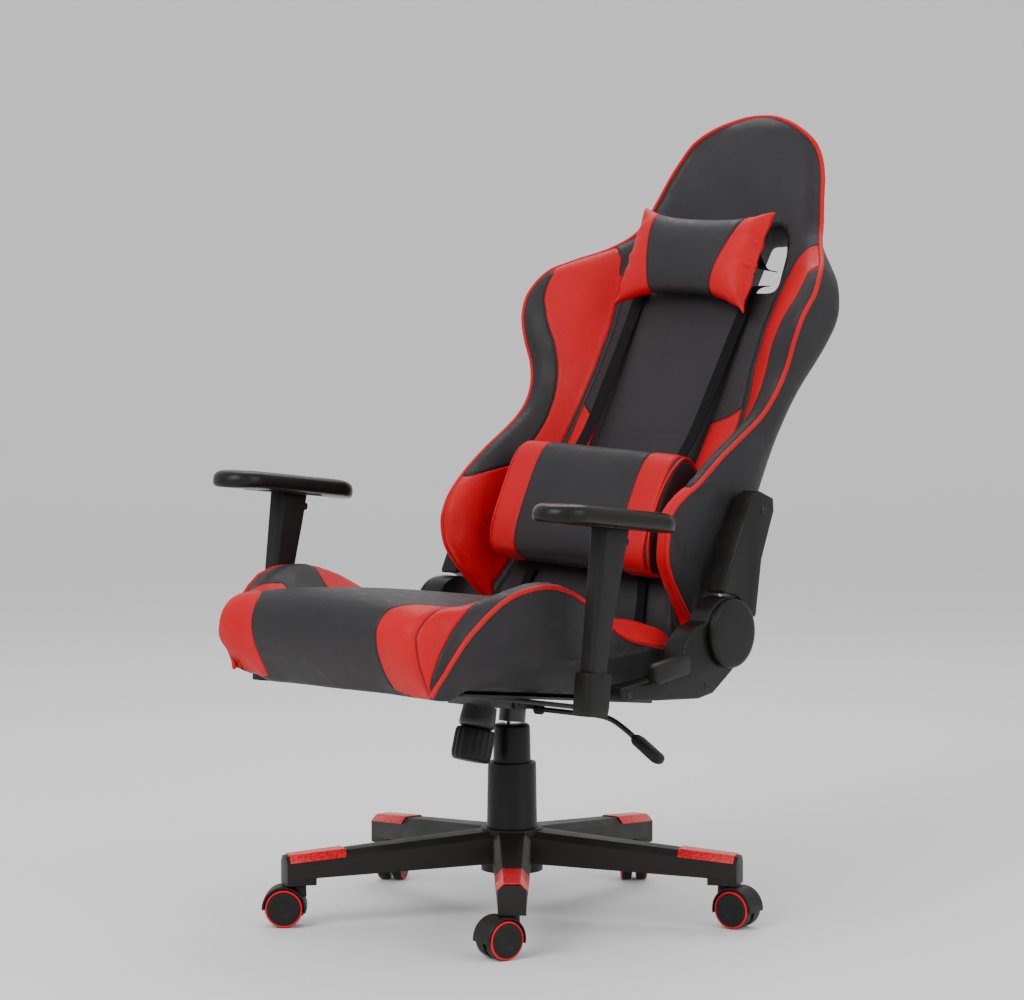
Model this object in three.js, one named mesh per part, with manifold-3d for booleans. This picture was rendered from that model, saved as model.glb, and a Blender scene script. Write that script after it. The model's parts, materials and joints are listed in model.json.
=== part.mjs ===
// Racing-style gaming chair: five-leg nylon base on twin-wheel casters, gas lift, tilt mechanism with a
// tension knob, bucket seat, height-adjustable arms and a reclining winged back with two loose pillows.
// Millimetres. +Z is up, the sitter faces -Y and the sitter's left hand is on +X. The origin is on the
// floor under the middle of the whole chair's box.

import * as THREE from 'three';
import { mergeVertices } from 'three/addons/utils/BufferGeometryUtils.js';
import Module from 'manifold-3d';

const wasm = await Module();
wasm.setup();

// ---------------------------------------------------------------- driving dimensions
const GAP = 0.3; // clearance between pieces that touch

// base
const LEG_COUNT = 5;
const LEG_REACH = 350; // column axis to the end of a leg
const LEG_START_ANGLE = -48; // direction of the first leg, degrees from +X
const LEG_ROOT_WIDTH = 56;
const LEG_TIP_WIDTH = 40;
const LEG_ROOT_TOP = 127;
const LEG_TIP_TOP = 104;
const LEG_ROOT_BOTTOM = 80;
const LEG_TIP_BOTTOM = 71;
const LEG_CHAMFER = 9;
const LEG_WALL = 5;
const HUB_RADIUS = 46;
const HUB_TOP = 130;
const HUB_BOTTOM = 66;
const SOCKET_INSET = 22; // leg end to the caster stem's axis
const SOCKET_BOTTOM = 62;
const PAD_LENGTH = 84;
const PAD_INSET = 5;
const PAD_THICKNESS = 1.8;

// casters
const WHEEL_RADIUS = 28;
const WHEEL_WIDTH = 18.3;
const WHEEL_SIDES = 16;
const CASTER_TRAIL = 21; // stem axis to wheel axle
const CASTER_WEB = 5;
const CASTER_WHEEL_GAP = 0.7;
const HOOD_CLEARANCE = 1.4;
const HOOD_THICKNESS = 3;
const HOOD_WIDTH = 40;
const AXLE_RADIUS = 3;
const STEM_RADIUS = 5.5;
const STEM_ABOVE = 33; // stem inside the leg
const STEM_BELOW = 12; // stem inside the hood
const CASTER_HEADINGS = [-104, 8, 132, 120, -138]; // where each caster trails, degrees from +X

// gas lift and its covers
const CYLINDER_RADIUS = 25;
const CYLINDER_BOTTOM = 42;
const CYLINDER_TOP = 222;
const CYLINDER_FLOOR = 10;
const ROD_RADIUS = 14;
const ROD_BOTTOM = 120;
const COVER_WALL = 1.6;
const COVER_CLEARANCE = 0.4; // upper cover's top to the cylinder it slides down over
const COVER_STEP = 7; // from the upper cover's outside to the lower cover's outside
const COVER_TAPER = 2; // how much wider a cover is at its foot
const UPPER_COVER_TOP_RADIUS = CYLINDER_RADIUS + COVER_CLEARANCE + COVER_WALL;
const UPPER_COVER_RADIUS = UPPER_COVER_TOP_RADIUS + COVER_TAPER;
const UPPER_COVER_HEIGHT = 92;
const UPPER_COVER_TOP = 285;
const LOWER_COVER_TOP_RADIUS = UPPER_COVER_RADIUS + COVER_STEP;
const LOWER_COVER_RADIUS = LOWER_COVER_TOP_RADIUS + COVER_TAPER;
const LOWER_COVER_HEIGHT = 98;

// seat plane: everything above the column leans back with it
const SEAT_HEIGHT = 330; // underside of the seat frame's mounting plane at the column axis
const SEAT_RAKE = 6.5;

// tilt mechanism, in the seat's frame
const HOUSING_WIDTH = 90;
const HOUSING_FRONT = -100;
const HOUSING_REAR = 26;
const HOUSING_BOTTOM = -20;
const HOUSING_TOP = -2.6;
const TILT_PIVOT_Y = -35;
const TILT_PIVOT_Z = -10;
const TILT_AXLE_RADIUS = 5;
const TILT_TRAVEL = 13; // degrees of rocking
const BOSS_RADIUS = 20;
const BOSS_LENGTH = 21;
const PLATE_WIDTH = 160;
const PLATE_LENGTH = 190;
const PLATE_THICKNESS = 5;
const EAR_THICKNESS = 4;
const KNOB_LEAN = 9.3;
const KNOB_Y = -68;
const KNOB_RADIUS = 30;
const KNOB_HEIGHT = 48;
const CUP_RADIUS = 27;
const CUP_HEIGHT = 34;
const KNOB_RIBS = 18;

// height lever, in the seat's frame
const LEVER_Y = 2;
const LEVER_Z = -19;
const LEVER_RADIUS = 4;
const BUSH_RADIUS = 8;
const BUSH_LENGTH = 12;
const BUSH_X = 54;
const LEVER_BEND_X = 196;
const LEVER_END_X = 238;
const LEVER_DROP = 24;
const GRIP_LENGTH = 62;
const GRIP_WIDTH = 24;
const GRIP_THICKNESS = 13;

// seat
const FRAME_BOTTOM = 3.3;
const FRAME_THICKNESS = 4;
const FRAME_WIDTH = 400;
const FRAME_FRONT = -325;
const FRAME_REAR = 85;
const FRAME_RIB = 8;
const CUSHION_RECESS = 16; // hollow under the cushion that takes the frame

// arms, in the seat's frame
const ARM_SPACING = 640; // between the two arm centres
const ARM_Y = -194;
const ARM_STEP = 23; // the right arm is set this much higher than the left one
const BAR_THICKNESS = 6;
const BAR_WIDTH = 26;
const BAR_FOOT_WIDTH = 44;
const BAR_START = 95;
const UPRIGHT_TOP = 190;
const SLEEVE_WIDTH = 32;
const SLEEVE_DEPTH = 52;
const SLEEVE_BOTTOM = -11;
const SLEEVE_TOP = 49;
const POST_WIDTH = 24;
const POST_DEPTH = 36;
const POST_HEAD_WIDTH = 30;
const POST_HEAD_DEPTH = 60;
const POST_BOTTOM = 14;
const POST_TOP = 250;
const POST_BORE_TOP = 232;
const PAD_SIZE = [88, 256, 25];
const PAD_PLATE = [62, 92, 6];
const BUTTON_SIZE = [15, 11, 11];
const BUTTON_PROUD = 6;
const BUTTON_TRAVEL = 4;
const BUTTON_Z = 233;

// recliner, in the seat's frame
const RECLINE_Y = 142;
const RECLINE_Z = 115;
const RECLINE_ANGLE = 20.5; // back's lean from the seat's own normal
const COVER_INNER_X = 251;
const COVER_OUTER_X = 288;
const COVER_HUB_RADIUS = 53;
const CAP_RADIUS = 51;
const CAP_THICKNESS = 12;
const PIN_RADIUS = 8;
const PIN_INNER_X = 224;
const BRACKET_CLEARANCE = 4;
const PADDLE_PIVOT = [24, 66];
const PADDLE_LENGTH = 78;

// back, in its own frame: X across, Z up along the back, -Y forward, origin on the recline axis
const FRAME_TUBE_RADIUS = 9;
const FRAME_TUBE_X = 150;
const FRAME_TUBE_TOP = 540;
const FRAME_TUBE_DEPTH = 45;
const FRAME_CROSS_Z = -32;
const SLOT_INNER = 80;
const SLOT_OUTER = 148;
const SLOT_BOTTOM = 578;
const SLOT_TOP = 700;
const LUMBAR_SIZE = [330, 82, 200];
const LUMBAR_CENTRE = [55, 162]; // ahead of the recline axis, up the back
const HEAD_PILLOW_SIZE = [270, 62, 158];
const HEAD_PILLOW_CENTRE = [9, 630];

// ---------------------------------------------------------------- materials
const finish = (color, roughness, metalness = 0) => new THREE.MeshStandardMaterial({ color, roughness, metalness });
const NYLON = finish('#2b2a29', 0.5);
const MOULDED = finish('#262524', 0.55);
const STEEL = finish('#1d1d1e', 0.4, 0.8);
const CHROME = finish('#b9bbbe', 0.2, 1);
const LEATHER = finish('#404042', 0.55);
const RED_LEATHER = finish('#e01f33', 0.5);
const RED_PLASTIC = finish('#d81a2c', 0.6);
const WHEEL_RUBBER = finish('#232222', 0.6);

// ---------------------------------------------------------------- solid helpers
const radians = THREE.MathUtils.degToRad;

function solid(geometry) {
  const plain = geometry.index ? geometry.clone() : geometry;
  plain.deleteAttribute('normal');
  plain.deleteAttribute('uv');
  const welded = mergeVertices(plain, 1e-4);
  const mesh = new wasm.Mesh({
    numProp: 3,
    vertProperties: new Float32Array(welded.attributes.position.array),
    triVerts: new Uint32Array(welded.index.array),
  });
  return new wasm.Manifold(mesh);
}

function geometryOf(body) {
  const { vertProperties, triVerts } = body.getMesh();
  const geometry = new THREE.BufferGeometry();
  geometry.setAttribute('position', new THREE.BufferAttribute(new Float32Array(vertProperties), 3));
  geometry.setIndex(new THREE.BufferAttribute(new Uint32Array(triVerts), 1));
  geometry.computeVertexNormals();
  return geometry;
}

function node(name, body, material, parent) {
  const mesh = new THREE.Mesh(geometryOf(body), material);
  mesh.name = name;
  parent.add(mesh);
  return mesh;
}

const unite = (first, ...others) => others.reduce((sum, other) => sum.add(other), first);

// a block given by its low and high corners
function block([x0, y0, z0], [x1, y1, z1]) {
  const geometry = new THREE.BoxGeometry(x1 - x0, y1 - y0, z1 - z0);
  geometry.translate((x0 + x1) / 2, (y0 + y1) / 2, (z0 + z1) / 2);
  return solid(geometry);
}

// a round bar along x, y or z from one end to the other
function bar(axis, radius, from, to, [u, v] = [0, 0], sides = 24) {
  const geometry = new THREE.CylinderGeometry(radius, radius, to - from, sides);
  const middle = (from + to) / 2;
  if (axis === 'x') geometry.rotateZ(Math.PI / 2).translate(middle, u, v);
  if (axis === 'y') geometry.translate(u, middle, v);
  if (axis === 'z') geometry.rotateX(Math.PI / 2).translate(u, v, middle);
  return solid(geometry);
}

// a turned piece about z; the profile is a list of [radius, height]
function turned(profile, sides) {
  const points = profile.map(([radius, height]) => new THREE.Vector2(radius, height));
  return solid(new THREE.LatheGeometry(points, sides).rotateX(Math.PI / 2));
}

// a tube about z, open at both ends, from [outer radius, height] pairs and a constant wall
function sleeveTube(outer, wall, sides) {
  const inner = outer.map(([radius, height]) => [radius - wall, height]).reverse();
  return turned([...outer, ...inner, outer[0]], sides);
}

const outline = (points) => new THREE.Shape(points.map(([u, v]) => new THREE.Vector2(u, v)));

// a flat outline in (y, z) carried from x0 to x1
function slabX(shape, x0, x1) {
  const geometry = new THREE.ExtrudeGeometry(shape, { depth: x1 - x0, bevelEnabled: false, curveSegments: 9 });
  const toX = new THREE.Matrix4().makeBasis(
    new THREE.Vector3(0, 1, 0),
    new THREE.Vector3(0, 0, 1),
    new THREE.Vector3(1, 0, 0),
  );
  return solid(geometry.applyMatrix4(toX).translate(x0, 0, 0));
}

// a flat outline in (x, z) carried from y1 back to y0
function slabY(shape, y0, y1) {
  const geometry = new THREE.ExtrudeGeometry(shape, { depth: y1 - y0, bevelEnabled: false, curveSegments: 6 });
  const toY = new THREE.Matrix4().makeBasis(
    new THREE.Vector3(1, 0, 0),
    new THREE.Vector3(0, 0, 1),
    new THREE.Vector3(0, -1, 0),
  );
  return solid(geometry.applyMatrix4(toY).translate(0, y1, 0));
}

// a flat outline in (x, y) carried from z0 up to z1
function slabZ(shape, z0, z1) {
  const geometry = new THREE.ExtrudeGeometry(shape, { depth: z1 - z0, bevelEnabled: false, curveSegments: 10 });
  return solid(geometry.translate(0, 0, z0));
}

// a closed body through rings of equal length; flat() gives the plane in which its ends are closed
function loft(rings, flat) {
  const count = rings[0].length;
  const faces = [];
  for (let i = 0; i + 1 < rings.length; i += 1) {
    for (let j = 0; j < count; j += 1) {
      const a = i * count + j;
      const b = i * count + ((j + 1) % count);
      faces.push([a, b, b + count], [a, b + count, a + count]);
    }
  }
  const close = (ring, offset, along) => {
    const flatRing = ring.map(flat);
    const turn = Math.sign(THREE.ShapeUtils.area(flatRing));
    THREE.ShapeUtils.triangulateShape(flatRing, []).forEach(([a, b, c]) => {
      const area = THREE.ShapeUtils.area([flatRing[a], flatRing[b], flatRing[c]]);
      const same = Math.sign(area) === turn;
      faces.push(same === along ? [a + offset, b + offset, c + offset] : [a + offset, c + offset, b + offset]);
    });
  };
  close(rings[0], 0, false);
  close(rings[rings.length - 1], (rings.length - 1) * count, true);
  const points = rings.flat();
  const volume = faces.reduce((sum, [a, b, c]) => {
    const cross = new THREE.Vector3().crossVectors(points[b], points[c]);
    return sum + points[a].dot(cross);
  }, 0);
  const facing = volume > 0 ? faces : faces.map(([a, b, c]) => [a, c, b]);
  const geometry = new THREE.BufferGeometry();
  const positions = points.flatMap((point) => [point.x, point.y, point.z]);
  geometry.setAttribute('position', new THREE.Float32BufferAttribute(positions, 3));
  geometry.setIndex(facing.flat());
  return solid(geometry);
}

const flatXY = (point) => new THREE.Vector2(point.x, point.y);
const flatXZ = (point) => new THREE.Vector2(point.x, point.z);
const flatYZ = (point) => new THREE.Vector2(point.y, point.z);
const mirrorRing = (half) => [...half, ...half.slice(1, -1).reverse().map(([u, v]) => [-u, v])];

// ---------------------------------------------------------------- base
const legSlope = (radius, root, tip) => root + ((tip - root) * (radius - HUB_RADIUS)) / (LEG_REACH - HUB_RADIUS);

function legRing(radius) {
  const half = legSlope(radius, LEG_ROOT_WIDTH, LEG_TIP_WIDTH) / 2;
  const top = legSlope(radius, LEG_ROOT_TOP, LEG_TIP_TOP);
  const bottom = legSlope(radius, LEG_ROOT_BOTTOM, LEG_TIP_BOTTOM);
  const section = [
    [-half, bottom],
    [half, bottom],
    [half, top - LEG_CHAMFER],
    [half - LEG_CHAMFER, top],
    [LEG_CHAMFER - half, top],
    [-half, top - LEG_CHAMFER],
  ];
  return section.map(([y, z]) => new THREE.Vector3(radius, y, z));
}

function legHollowRing(radius) {
  const half = legSlope(radius, LEG_ROOT_WIDTH, LEG_TIP_WIDTH) / 2 - LEG_WALL;
  const roof = legSlope(radius, LEG_ROOT_TOP, LEG_TIP_TOP) - LEG_CHAMFER - LEG_WALL;
  const floor = LEG_TIP_BOTTOM - 10;
  const section = [[-half, floor], [half, floor], [half, roof], [-half, roof]];
  return section.map(([y, z]) => new THREE.Vector3(radius, y, z));
}

const SOCKET_RADIUS = LEG_REACH - SOCKET_INSET;

function legSolid() {
  const beam = loft([legRing(HUB_RADIUS / 2), legRing(LEG_REACH)], flatYZ);
  const half = LEG_TIP_WIDTH / 2;
  const socketTop = LEG_TIP_TOP - LEG_CHAMFER - 1;
  const socket = block([SOCKET_RADIUS - SOCKET_INSET, -half, SOCKET_BOTTOM], [LEG_REACH, half, socketTop]);
  const hollow = loft([legHollowRing(HUB_RADIUS + 12), legHollowRing(SOCKET_RADIUS - SOCKET_INSET - LEG_WALL)], flatYZ);
  const stemTop = SOCKET_BOTTOM + STEM_ABOVE + 2;
  const bore = bar('z', STEM_RADIUS + GAP, SOCKET_BOTTOM - 1, stemTop, [SOCKET_RADIUS, 0], 12);
  return beam.subtract(hollow).add(socket).subtract(bore);
}

const legAngle = (index) => LEG_START_ANGLE + (360 / LEG_COUNT) * index;

function starBase() {
  const hub = turned([[0, HUB_BOTTOM], [HUB_RADIUS, HUB_BOTTOM], [HUB_RADIUS, HUB_TOP], [0, HUB_TOP]], 30);
  const leg = legSolid();
  const legs = Array.from({ length: LEG_COUNT }, (_, index) => leg.rotate([0, 0, legAngle(index)]));
  const bore = bar('z', CYLINDER_RADIUS + GAP, HUB_BOTTOM - 1, HUB_TOP + 1, [0, 0], 28);
  return unite(hub, ...legs).subtract(bore);
}

// the red insert follows the top and both chamfers of a leg
function legPad() {
  const ring = (radius) => {
    const half = legSlope(radius, LEG_ROOT_WIDTH, LEG_TIP_WIDTH) / 2;
    const top = legSlope(radius, LEG_ROOT_TOP, LEG_TIP_TOP);
    const layer = (rise) => [
      [half + rise, top - LEG_CHAMFER],
      [half - LEG_CHAMFER + rise * 0.4, top + rise],
      [LEG_CHAMFER - half - rise * 0.4, top + rise],
      [-half - rise, top - LEG_CHAMFER],
    ];
    const section = [...layer(GAP), ...layer(GAP + PAD_THICKNESS).reverse()];
    return section.map(([y, z]) => new THREE.Vector3(radius, y, z));
  };
  const end = LEG_REACH - PAD_INSET;
  return loft([ring(end - PAD_LENGTH), ring(end)], flatYZ);
}

// ---------------------------------------------------------------- casters
// caster frame: stem on the z axis, axle CASTER_TRAIL along +x, floor at z = 0
const WHEEL_INNER = CASTER_WEB / 2 + CASTER_WHEEL_GAP;

function casterWheel(side) {
  const rim = WHEEL_RADIUS / Math.cos(Math.PI / WHEEL_SIDES);
  const outer = WHEEL_INNER + WHEEL_WIDTH;
  const boreEnd = outer - 2.5;
  const profile = [
    [0, outer],
    [rim - 5, outer],
    [rim - 1.5, outer - 1.5],
    [rim, outer - 4],
    [rim, WHEEL_INNER + 2],
    [rim - 2, WHEEL_INNER],
    [AXLE_RADIUS + GAP, WHEEL_INNER],
    [AXLE_RADIUS + GAP, boreEnd],
    [0, boreEnd],
  ];
  const halfFacet = 180 / WHEEL_SIDES;
  const upright = turned(profile.reverse(), WHEEL_SIDES).rotate([0, 0, halfFacet]).rotate([side * -90, 0, 0]);
  return upright.translate([CASTER_TRAIL, 0, WHEEL_RADIUS]);
}

function casterHood() {
  const inner = WHEEL_RADIUS + HOOD_CLEARANCE;
  const outer = inner + HOOD_THICKNESS;
  const axle = [CASTER_TRAIL, WHEEL_RADIUS];
  const shell = new THREE.Shape();
  shell.absarc(...axle, outer, radians(-4), radians(192), false);
  shell.absarc(...axle, inner, radians(192), radians(-4), true);
  const fender = slabY(shell, -HOOD_WIDTH / 2, HOOD_WIDTH / 2);
  const bossTop = SOCKET_BOTTOM - 1;
  const boss = bar('z', 2 * STEM_RADIUS, WHEEL_RADIUS + 4, bossTop, [0, 0], 16);
  const wheelSpace = bar('y', inner + 1, -HOOD_WIDTH, HOOD_WIDTH, axle, 20);
  const webRing = new THREE.Shape();
  webRing.absarc(...axle, inner + 1, radians(-25), radians(205), false);
  const web = slabY(webRing, -CASTER_WEB / 2, CASTER_WEB / 2);
  const axlePin = bar('y', AXLE_RADIUS, -WHEEL_INNER - WHEEL_WIDTH + 3, WHEEL_INNER + WHEEL_WIDTH - 3, axle, 10);
  const stemBore = bar('z', STEM_RADIUS + GAP, bossTop - STEM_BELOW, bossTop + 1, [0, 0], 12);
  return unite(fender, boss.subtract(wheelSpace), web, axlePin).subtract(stemBore);
}

function casterStem() {
  const bottom = SOCKET_BOTTOM - 1 - STEM_BELOW + GAP;
  const top = SOCKET_BOTTOM + STEM_ABOVE;
  return bar('z', STEM_RADIUS, bottom, top, [0, 0], 12);
}

// ---------------------------------------------------------------- gas lift
function gasCylinder() {
  const bore = ROD_RADIUS + GAP;
  return turned([
    [0, CYLINDER_BOTTOM],
    [CYLINDER_RADIUS, CYLINDER_BOTTOM],
    [CYLINDER_RADIUS, CYLINDER_TOP],
    [bore, CYLINDER_TOP],
    [bore, CYLINDER_BOTTOM + CYLINDER_FLOOR],
    [0, CYLINDER_BOTTOM + CYLINDER_FLOOR],
  ], 28);
}

function lowerCover() {
  const bottom = HUB_TOP + GAP;
  const outer = [[LOWER_COVER_RADIUS, bottom], [LOWER_COVER_TOP_RADIUS, bottom + LOWER_COVER_HEIGHT]];
  const tube = sleeveTube(outer, COVER_WALL, 28);
  const lipTop = bottom + LOWER_COVER_HEIGHT;
  const lipOuter = LOWER_COVER_TOP_RADIUS - COVER_WALL / 2;
  const lip = [
    [UPPER_COVER_RADIUS + 0.6, lipTop - 4],
    [lipOuter, lipTop - 4],
    [lipOuter, lipTop],
    [UPPER_COVER_RADIUS + 0.6, lipTop],
    [UPPER_COVER_RADIUS + 0.6, lipTop - 4],
  ];
  return tube.add(turned(lip, 28));
}

function upperCover() {
  const bottom = UPPER_COVER_TOP - UPPER_COVER_HEIGHT;
  const inner = UPPER_COVER_RADIUS - COVER_WALL;
  return turned([
    [UPPER_COVER_RADIUS, bottom],
    [UPPER_COVER_TOP_RADIUS, UPPER_COVER_TOP - 5],
    [UPPER_COVER_TOP_RADIUS - 4, UPPER_COVER_TOP],
    [ROD_RADIUS + GAP, UPPER_COVER_TOP],
    [ROD_RADIUS + GAP, UPPER_COVER_TOP - COVER_WALL],
    [UPPER_COVER_TOP_RADIUS - 5, UPPER_COVER_TOP - COVER_WALL],
    [inner - 2, UPPER_COVER_TOP - 8],
    [inner, bottom],
    [UPPER_COVER_RADIUS, bottom],
  ], 28);
}

// ---------------------------------------------------------------- tilt mechanism
// where the slanted boss meets the upright gas rod
const ROD_TOP = SEAT_HEIGHT - 16;

function tiltHousing() {
  const drop = Math.tan(radians(TILT_TRAVEL + 1));
  const side = outline([
    [HOUSING_FRONT + 10, HOUSING_BOTTOM],
    [HOUSING_REAR - 12, HOUSING_BOTTOM],
    [HOUSING_REAR, HOUSING_TOP - (HOUSING_REAR - TILT_PIVOT_Y) * drop - 2],
    [TILT_PIVOT_Y, HOUSING_TOP],
    [HOUSING_FRONT, HOUSING_TOP],
    [HOUSING_FRONT, HOUSING_BOTTOM + 12],
  ]);
  const half = HOUSING_WIDTH / 2;
  const body = slabX(side, -half, half);
  const boss = bar('z', BOSS_RADIUS, HOUSING_BOTTOM - BOSS_LENGTH, HOUSING_BOTTOM + 2, [4, 0], 28);
  const axle = bar('x', TILT_AXLE_RADIUS, -half - EAR_THICKNESS - 4, half + EAR_THICKNESS + 4, [TILT_PIVOT_Y, TILT_PIVOT_Z], 16);
  return unite(body, boss, axle);
}

// the rod stands upright while the mechanism leans, so its bore is cut in the upright frame
function uprightRodSpace() {
  const space = bar('z', ROD_RADIUS + GAP, UPPER_COVER_TOP, ROD_TOP + GAP, [0, 0], 28);
  return space.translate([0, 0, -SEAT_HEIGHT]).rotate([SEAT_RAKE, 0, 0]);
}

function tiltPlate() {
  const front = HOUSING_FRONT + 2;
  const half = PLATE_WIDTH / 2;
  const top = FRAME_BOTTOM - GAP;
  const plate = block([-half, front, top - PLATE_THICKNESS], [half, front + PLATE_LENGTH, top]);
  const earX = HOUSING_WIDTH / 2 + 1;
  const earDepth = TILT_PIVOT_Z - 11;
  const ear = outline([
    [TILT_PIVOT_Y - 16, top - 1],
    [TILT_PIVOT_Y - 10, earDepth],
    [TILT_PIVOT_Y + 10, earDepth],
    [TILT_PIVOT_Y + 16, top - 1],
  ]);
  const ears = slabX(ear, earX, earX + EAR_THICKNESS).add(slabX(ear, -earX - EAR_THICKNESS, -earX));
  const hole = bar('x', TILT_AXLE_RADIUS + GAP, -half, half, [TILT_PIVOT_Y, TILT_PIVOT_Z], 16);
  return plate.add(ears).subtract(hole);
}

// the spring cup and the knob share one axis, leaning forward from the housing
const onKnobAxis = (body) => body.rotate([-KNOB_LEAN, 0, 0]).translate([0, KNOB_Y, HOUSING_BOTTOM]);
const SCREW_RADIUS = 6;

function tensionCup() {
  const flat = onKnobAxis(turned([
    [0, -CUP_HEIGHT],
    [CUP_RADIUS, -CUP_HEIGHT],
    [CUP_RADIUS - 2, 12],
    [0, 12],
  ], 32));
  const screw = onKnobAxis(bar('z', SCREW_RADIUS, -CUP_HEIGHT - KNOB_HEIGHT * 0.6, -CUP_HEIGHT + 1, [0, 0], 16));
  const housingSpace = block([-100, -200, HOUSING_BOTTOM - GAP], [100, 100, 50]);
  return flat.add(screw).subtract(housingSpace);
}

function tensionKnob() {
  const top = -CUP_HEIGHT - GAP * 2;
  const bottom = top - KNOB_HEIGHT;
  const rim = Array.from({ length: KNOB_RIBS * 2 }, (_, index) => {
    const angle = (Math.PI * index) / KNOB_RIBS;
    const radius = index % 2 ? KNOB_RADIUS - 1.6 : KNOB_RADIUS;
    return [radius * Math.cos(angle), radius * Math.sin(angle)];
  });
  const section = (height, scale) => rim.map(([x, y]) => new THREE.Vector3(x * scale, y * scale, height));
  const grip = loft([section(bottom, 0.9), section(bottom + 5, 1), section(top - 4, 1), section(top, 0.93)], flatXY);
  const screwBore = bar('z', SCREW_RADIUS + GAP, -CUP_HEIGHT - KNOB_HEIGHT * 0.6 - 1, 0, [0, 0], 16);
  return onKnobAxis(grip.subtract(screwBore));
}

// ---------------------------------------------------------------- height lever
function leverBush() {
  const half = BUSH_LENGTH / 2;
  const ring = bar('x', BUSH_RADIUS, BUSH_X - half, BUSH_X + half, [LEVER_Y, LEVER_Z], 20);
  return ring.subtract(bar('x', LEVER_RADIUS + GAP, BUSH_X - half - 1, BUSH_X + half + 1, [LEVER_Y, LEVER_Z], 16));
}

const LEVER_SLOPE = Math.atan2(LEVER_DROP, LEVER_END_X - LEVER_BEND_X);

function heightLeverRod() {
  const start = BUSH_X - BUSH_LENGTH / 2 - 1;
  const route = new THREE.CatmullRomCurve3([
    new THREE.Vector3(start, LEVER_Y, LEVER_Z),
    new THREE.Vector3(BUSH_X + 20, LEVER_Y, LEVER_Z),
    new THREE.Vector3(LEVER_BEND_X - 20, LEVER_Y, LEVER_Z),
    new THREE.Vector3(LEVER_BEND_X, LEVER_Y, LEVER_Z - 4),
    new THREE.Vector3(LEVER_END_X, LEVER_Y, LEVER_Z - LEVER_DROP),
  ], false, 'centripetal');
  const section = new THREE.Shape();
  section.absarc(0, 0, LEVER_RADIUS, 0, 2 * Math.PI, false);
  const rod = new THREE.ExtrudeGeometry(section, { steps: 20, extrudePath: route, curveSegments: 4, bevelEnabled: false });
  return solid(rod);
}

// a flat rounded paddle that carries on down the rod's slope
function heightLeverGrip() {
  const half = GRIP_WIDTH / 2;
  const blade = outline([
    [0, -half * 0.55],
    [10, -half],
    [GRIP_LENGTH - 8, -half],
    [GRIP_LENGTH, -half * 0.6],
    [GRIP_LENGTH, half * 0.6],
    [GRIP_LENGTH - 8, half],
    [10, half],
    [0, half * 0.55],
  ]);
  const paddle = slabZ(blade, -GRIP_THICKNESS / 2, GRIP_THICKNESS / 2);
  const slope = THREE.MathUtils.radToDeg(LEVER_SLOPE);
  return paddle.translate([GAP + 1, 0, 0]).rotate([0, slope, 0]).translate([LEVER_END_X, LEVER_Y, LEVER_Z - LEVER_DROP]);
}

// ---------------------------------------------------------------- seat
function seatFrame() {
  const half = FRAME_WIDTH / 2;
  const top = FRAME_BOTTOM + FRAME_THICKNESS;
  const pan = block([-half, FRAME_FRONT, FRAME_BOTTOM], [half, FRAME_REAR, top]);
  const ribAt = (x) => block([x - 8, FRAME_FRONT + 20, top - 1], [x + 8, FRAME_REAR - 20, FRAME_BOTTOM + FRAME_RIB]);
  const windowAt = (y) => block([-70, y, 0], [70, y + 90, 30]);
  return unite(pan, ribAt(-130), ribAt(130)).subtract(windowAt(FRAME_FRONT + 45));
}

// stations along the seat: y, half width, underside, piping height, bolster crown, groove, middle
const SEAT_STATIONS = [
  { y: -428, half: 192, under: 30, piping: 40, crown: [180, 96], groove: [150, 104], middle: 106 },
  { y: -414, half: 206, under: -2, piping: 8, crown: [196, 108], groove: [160, 122], middle: 125 },
  { y: -382, half: 227, under: -1, piping: 52, crown: [204, 116], groove: [168, 129], middle: 134 },
  { y: -346, half: 241, under: 3, piping: 104, crown: [216, 127], groove: [172, 130], middle: 139 },
  { y: -300, half: 252, under: 7, piping: 146, crown: [232, 151], groove: [176, 131], middle: 142 },
  { y: -240, half: 260, under: 9, piping: 164, crown: [238, 171], groove: [178, 131], middle: 144 },
  { y: -180, half: 259, under: 10, piping: 158, crown: [238, 168], groove: [178, 129], middle: 145 },
  { y: -110, half: 252, under: 10, piping: 131, crown: [231, 146], groove: [178, 126], middle: 145 },
  { y: -40, half: 243, under: 10, piping: 96, crown: [222, 118], groove: [178, 124], middle: 142 },
  { y: 40, half: 234, under: 10, piping: 88, crown: [212, 112], groove: [176, 121], middle: 136 },
  { y: 104, half: 226, under: 12, piping: 84, crown: [204, 104], groove: [172, 112], middle: 124 },
];

function seatCushion() {
  const rings = SEAT_STATIONS.map((station) => {
    const half = [
      [0, station.under],
      [station.half - 10, station.under],
      [station.half, station.under + 10],
      [station.half, station.piping],
      station.crown,
      station.groove,
      [0, station.middle],
    ];
    return mirrorRing(half).map(([x, z]) => new THREE.Vector3(x, station.y, z));
  });
  const margin = 6;
  const half = FRAME_WIDTH / 2 + margin;
  const recess = block([-half, FRAME_FRONT - margin, -20], [half, FRAME_REAR + margin, CUSHION_RECESS]);
  return loft(rings, flatXZ).subtract(recess);
}

// ---------------------------------------------------------------- arms, built for +X
const ARM_X = ARM_SPACING / 2;

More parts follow.
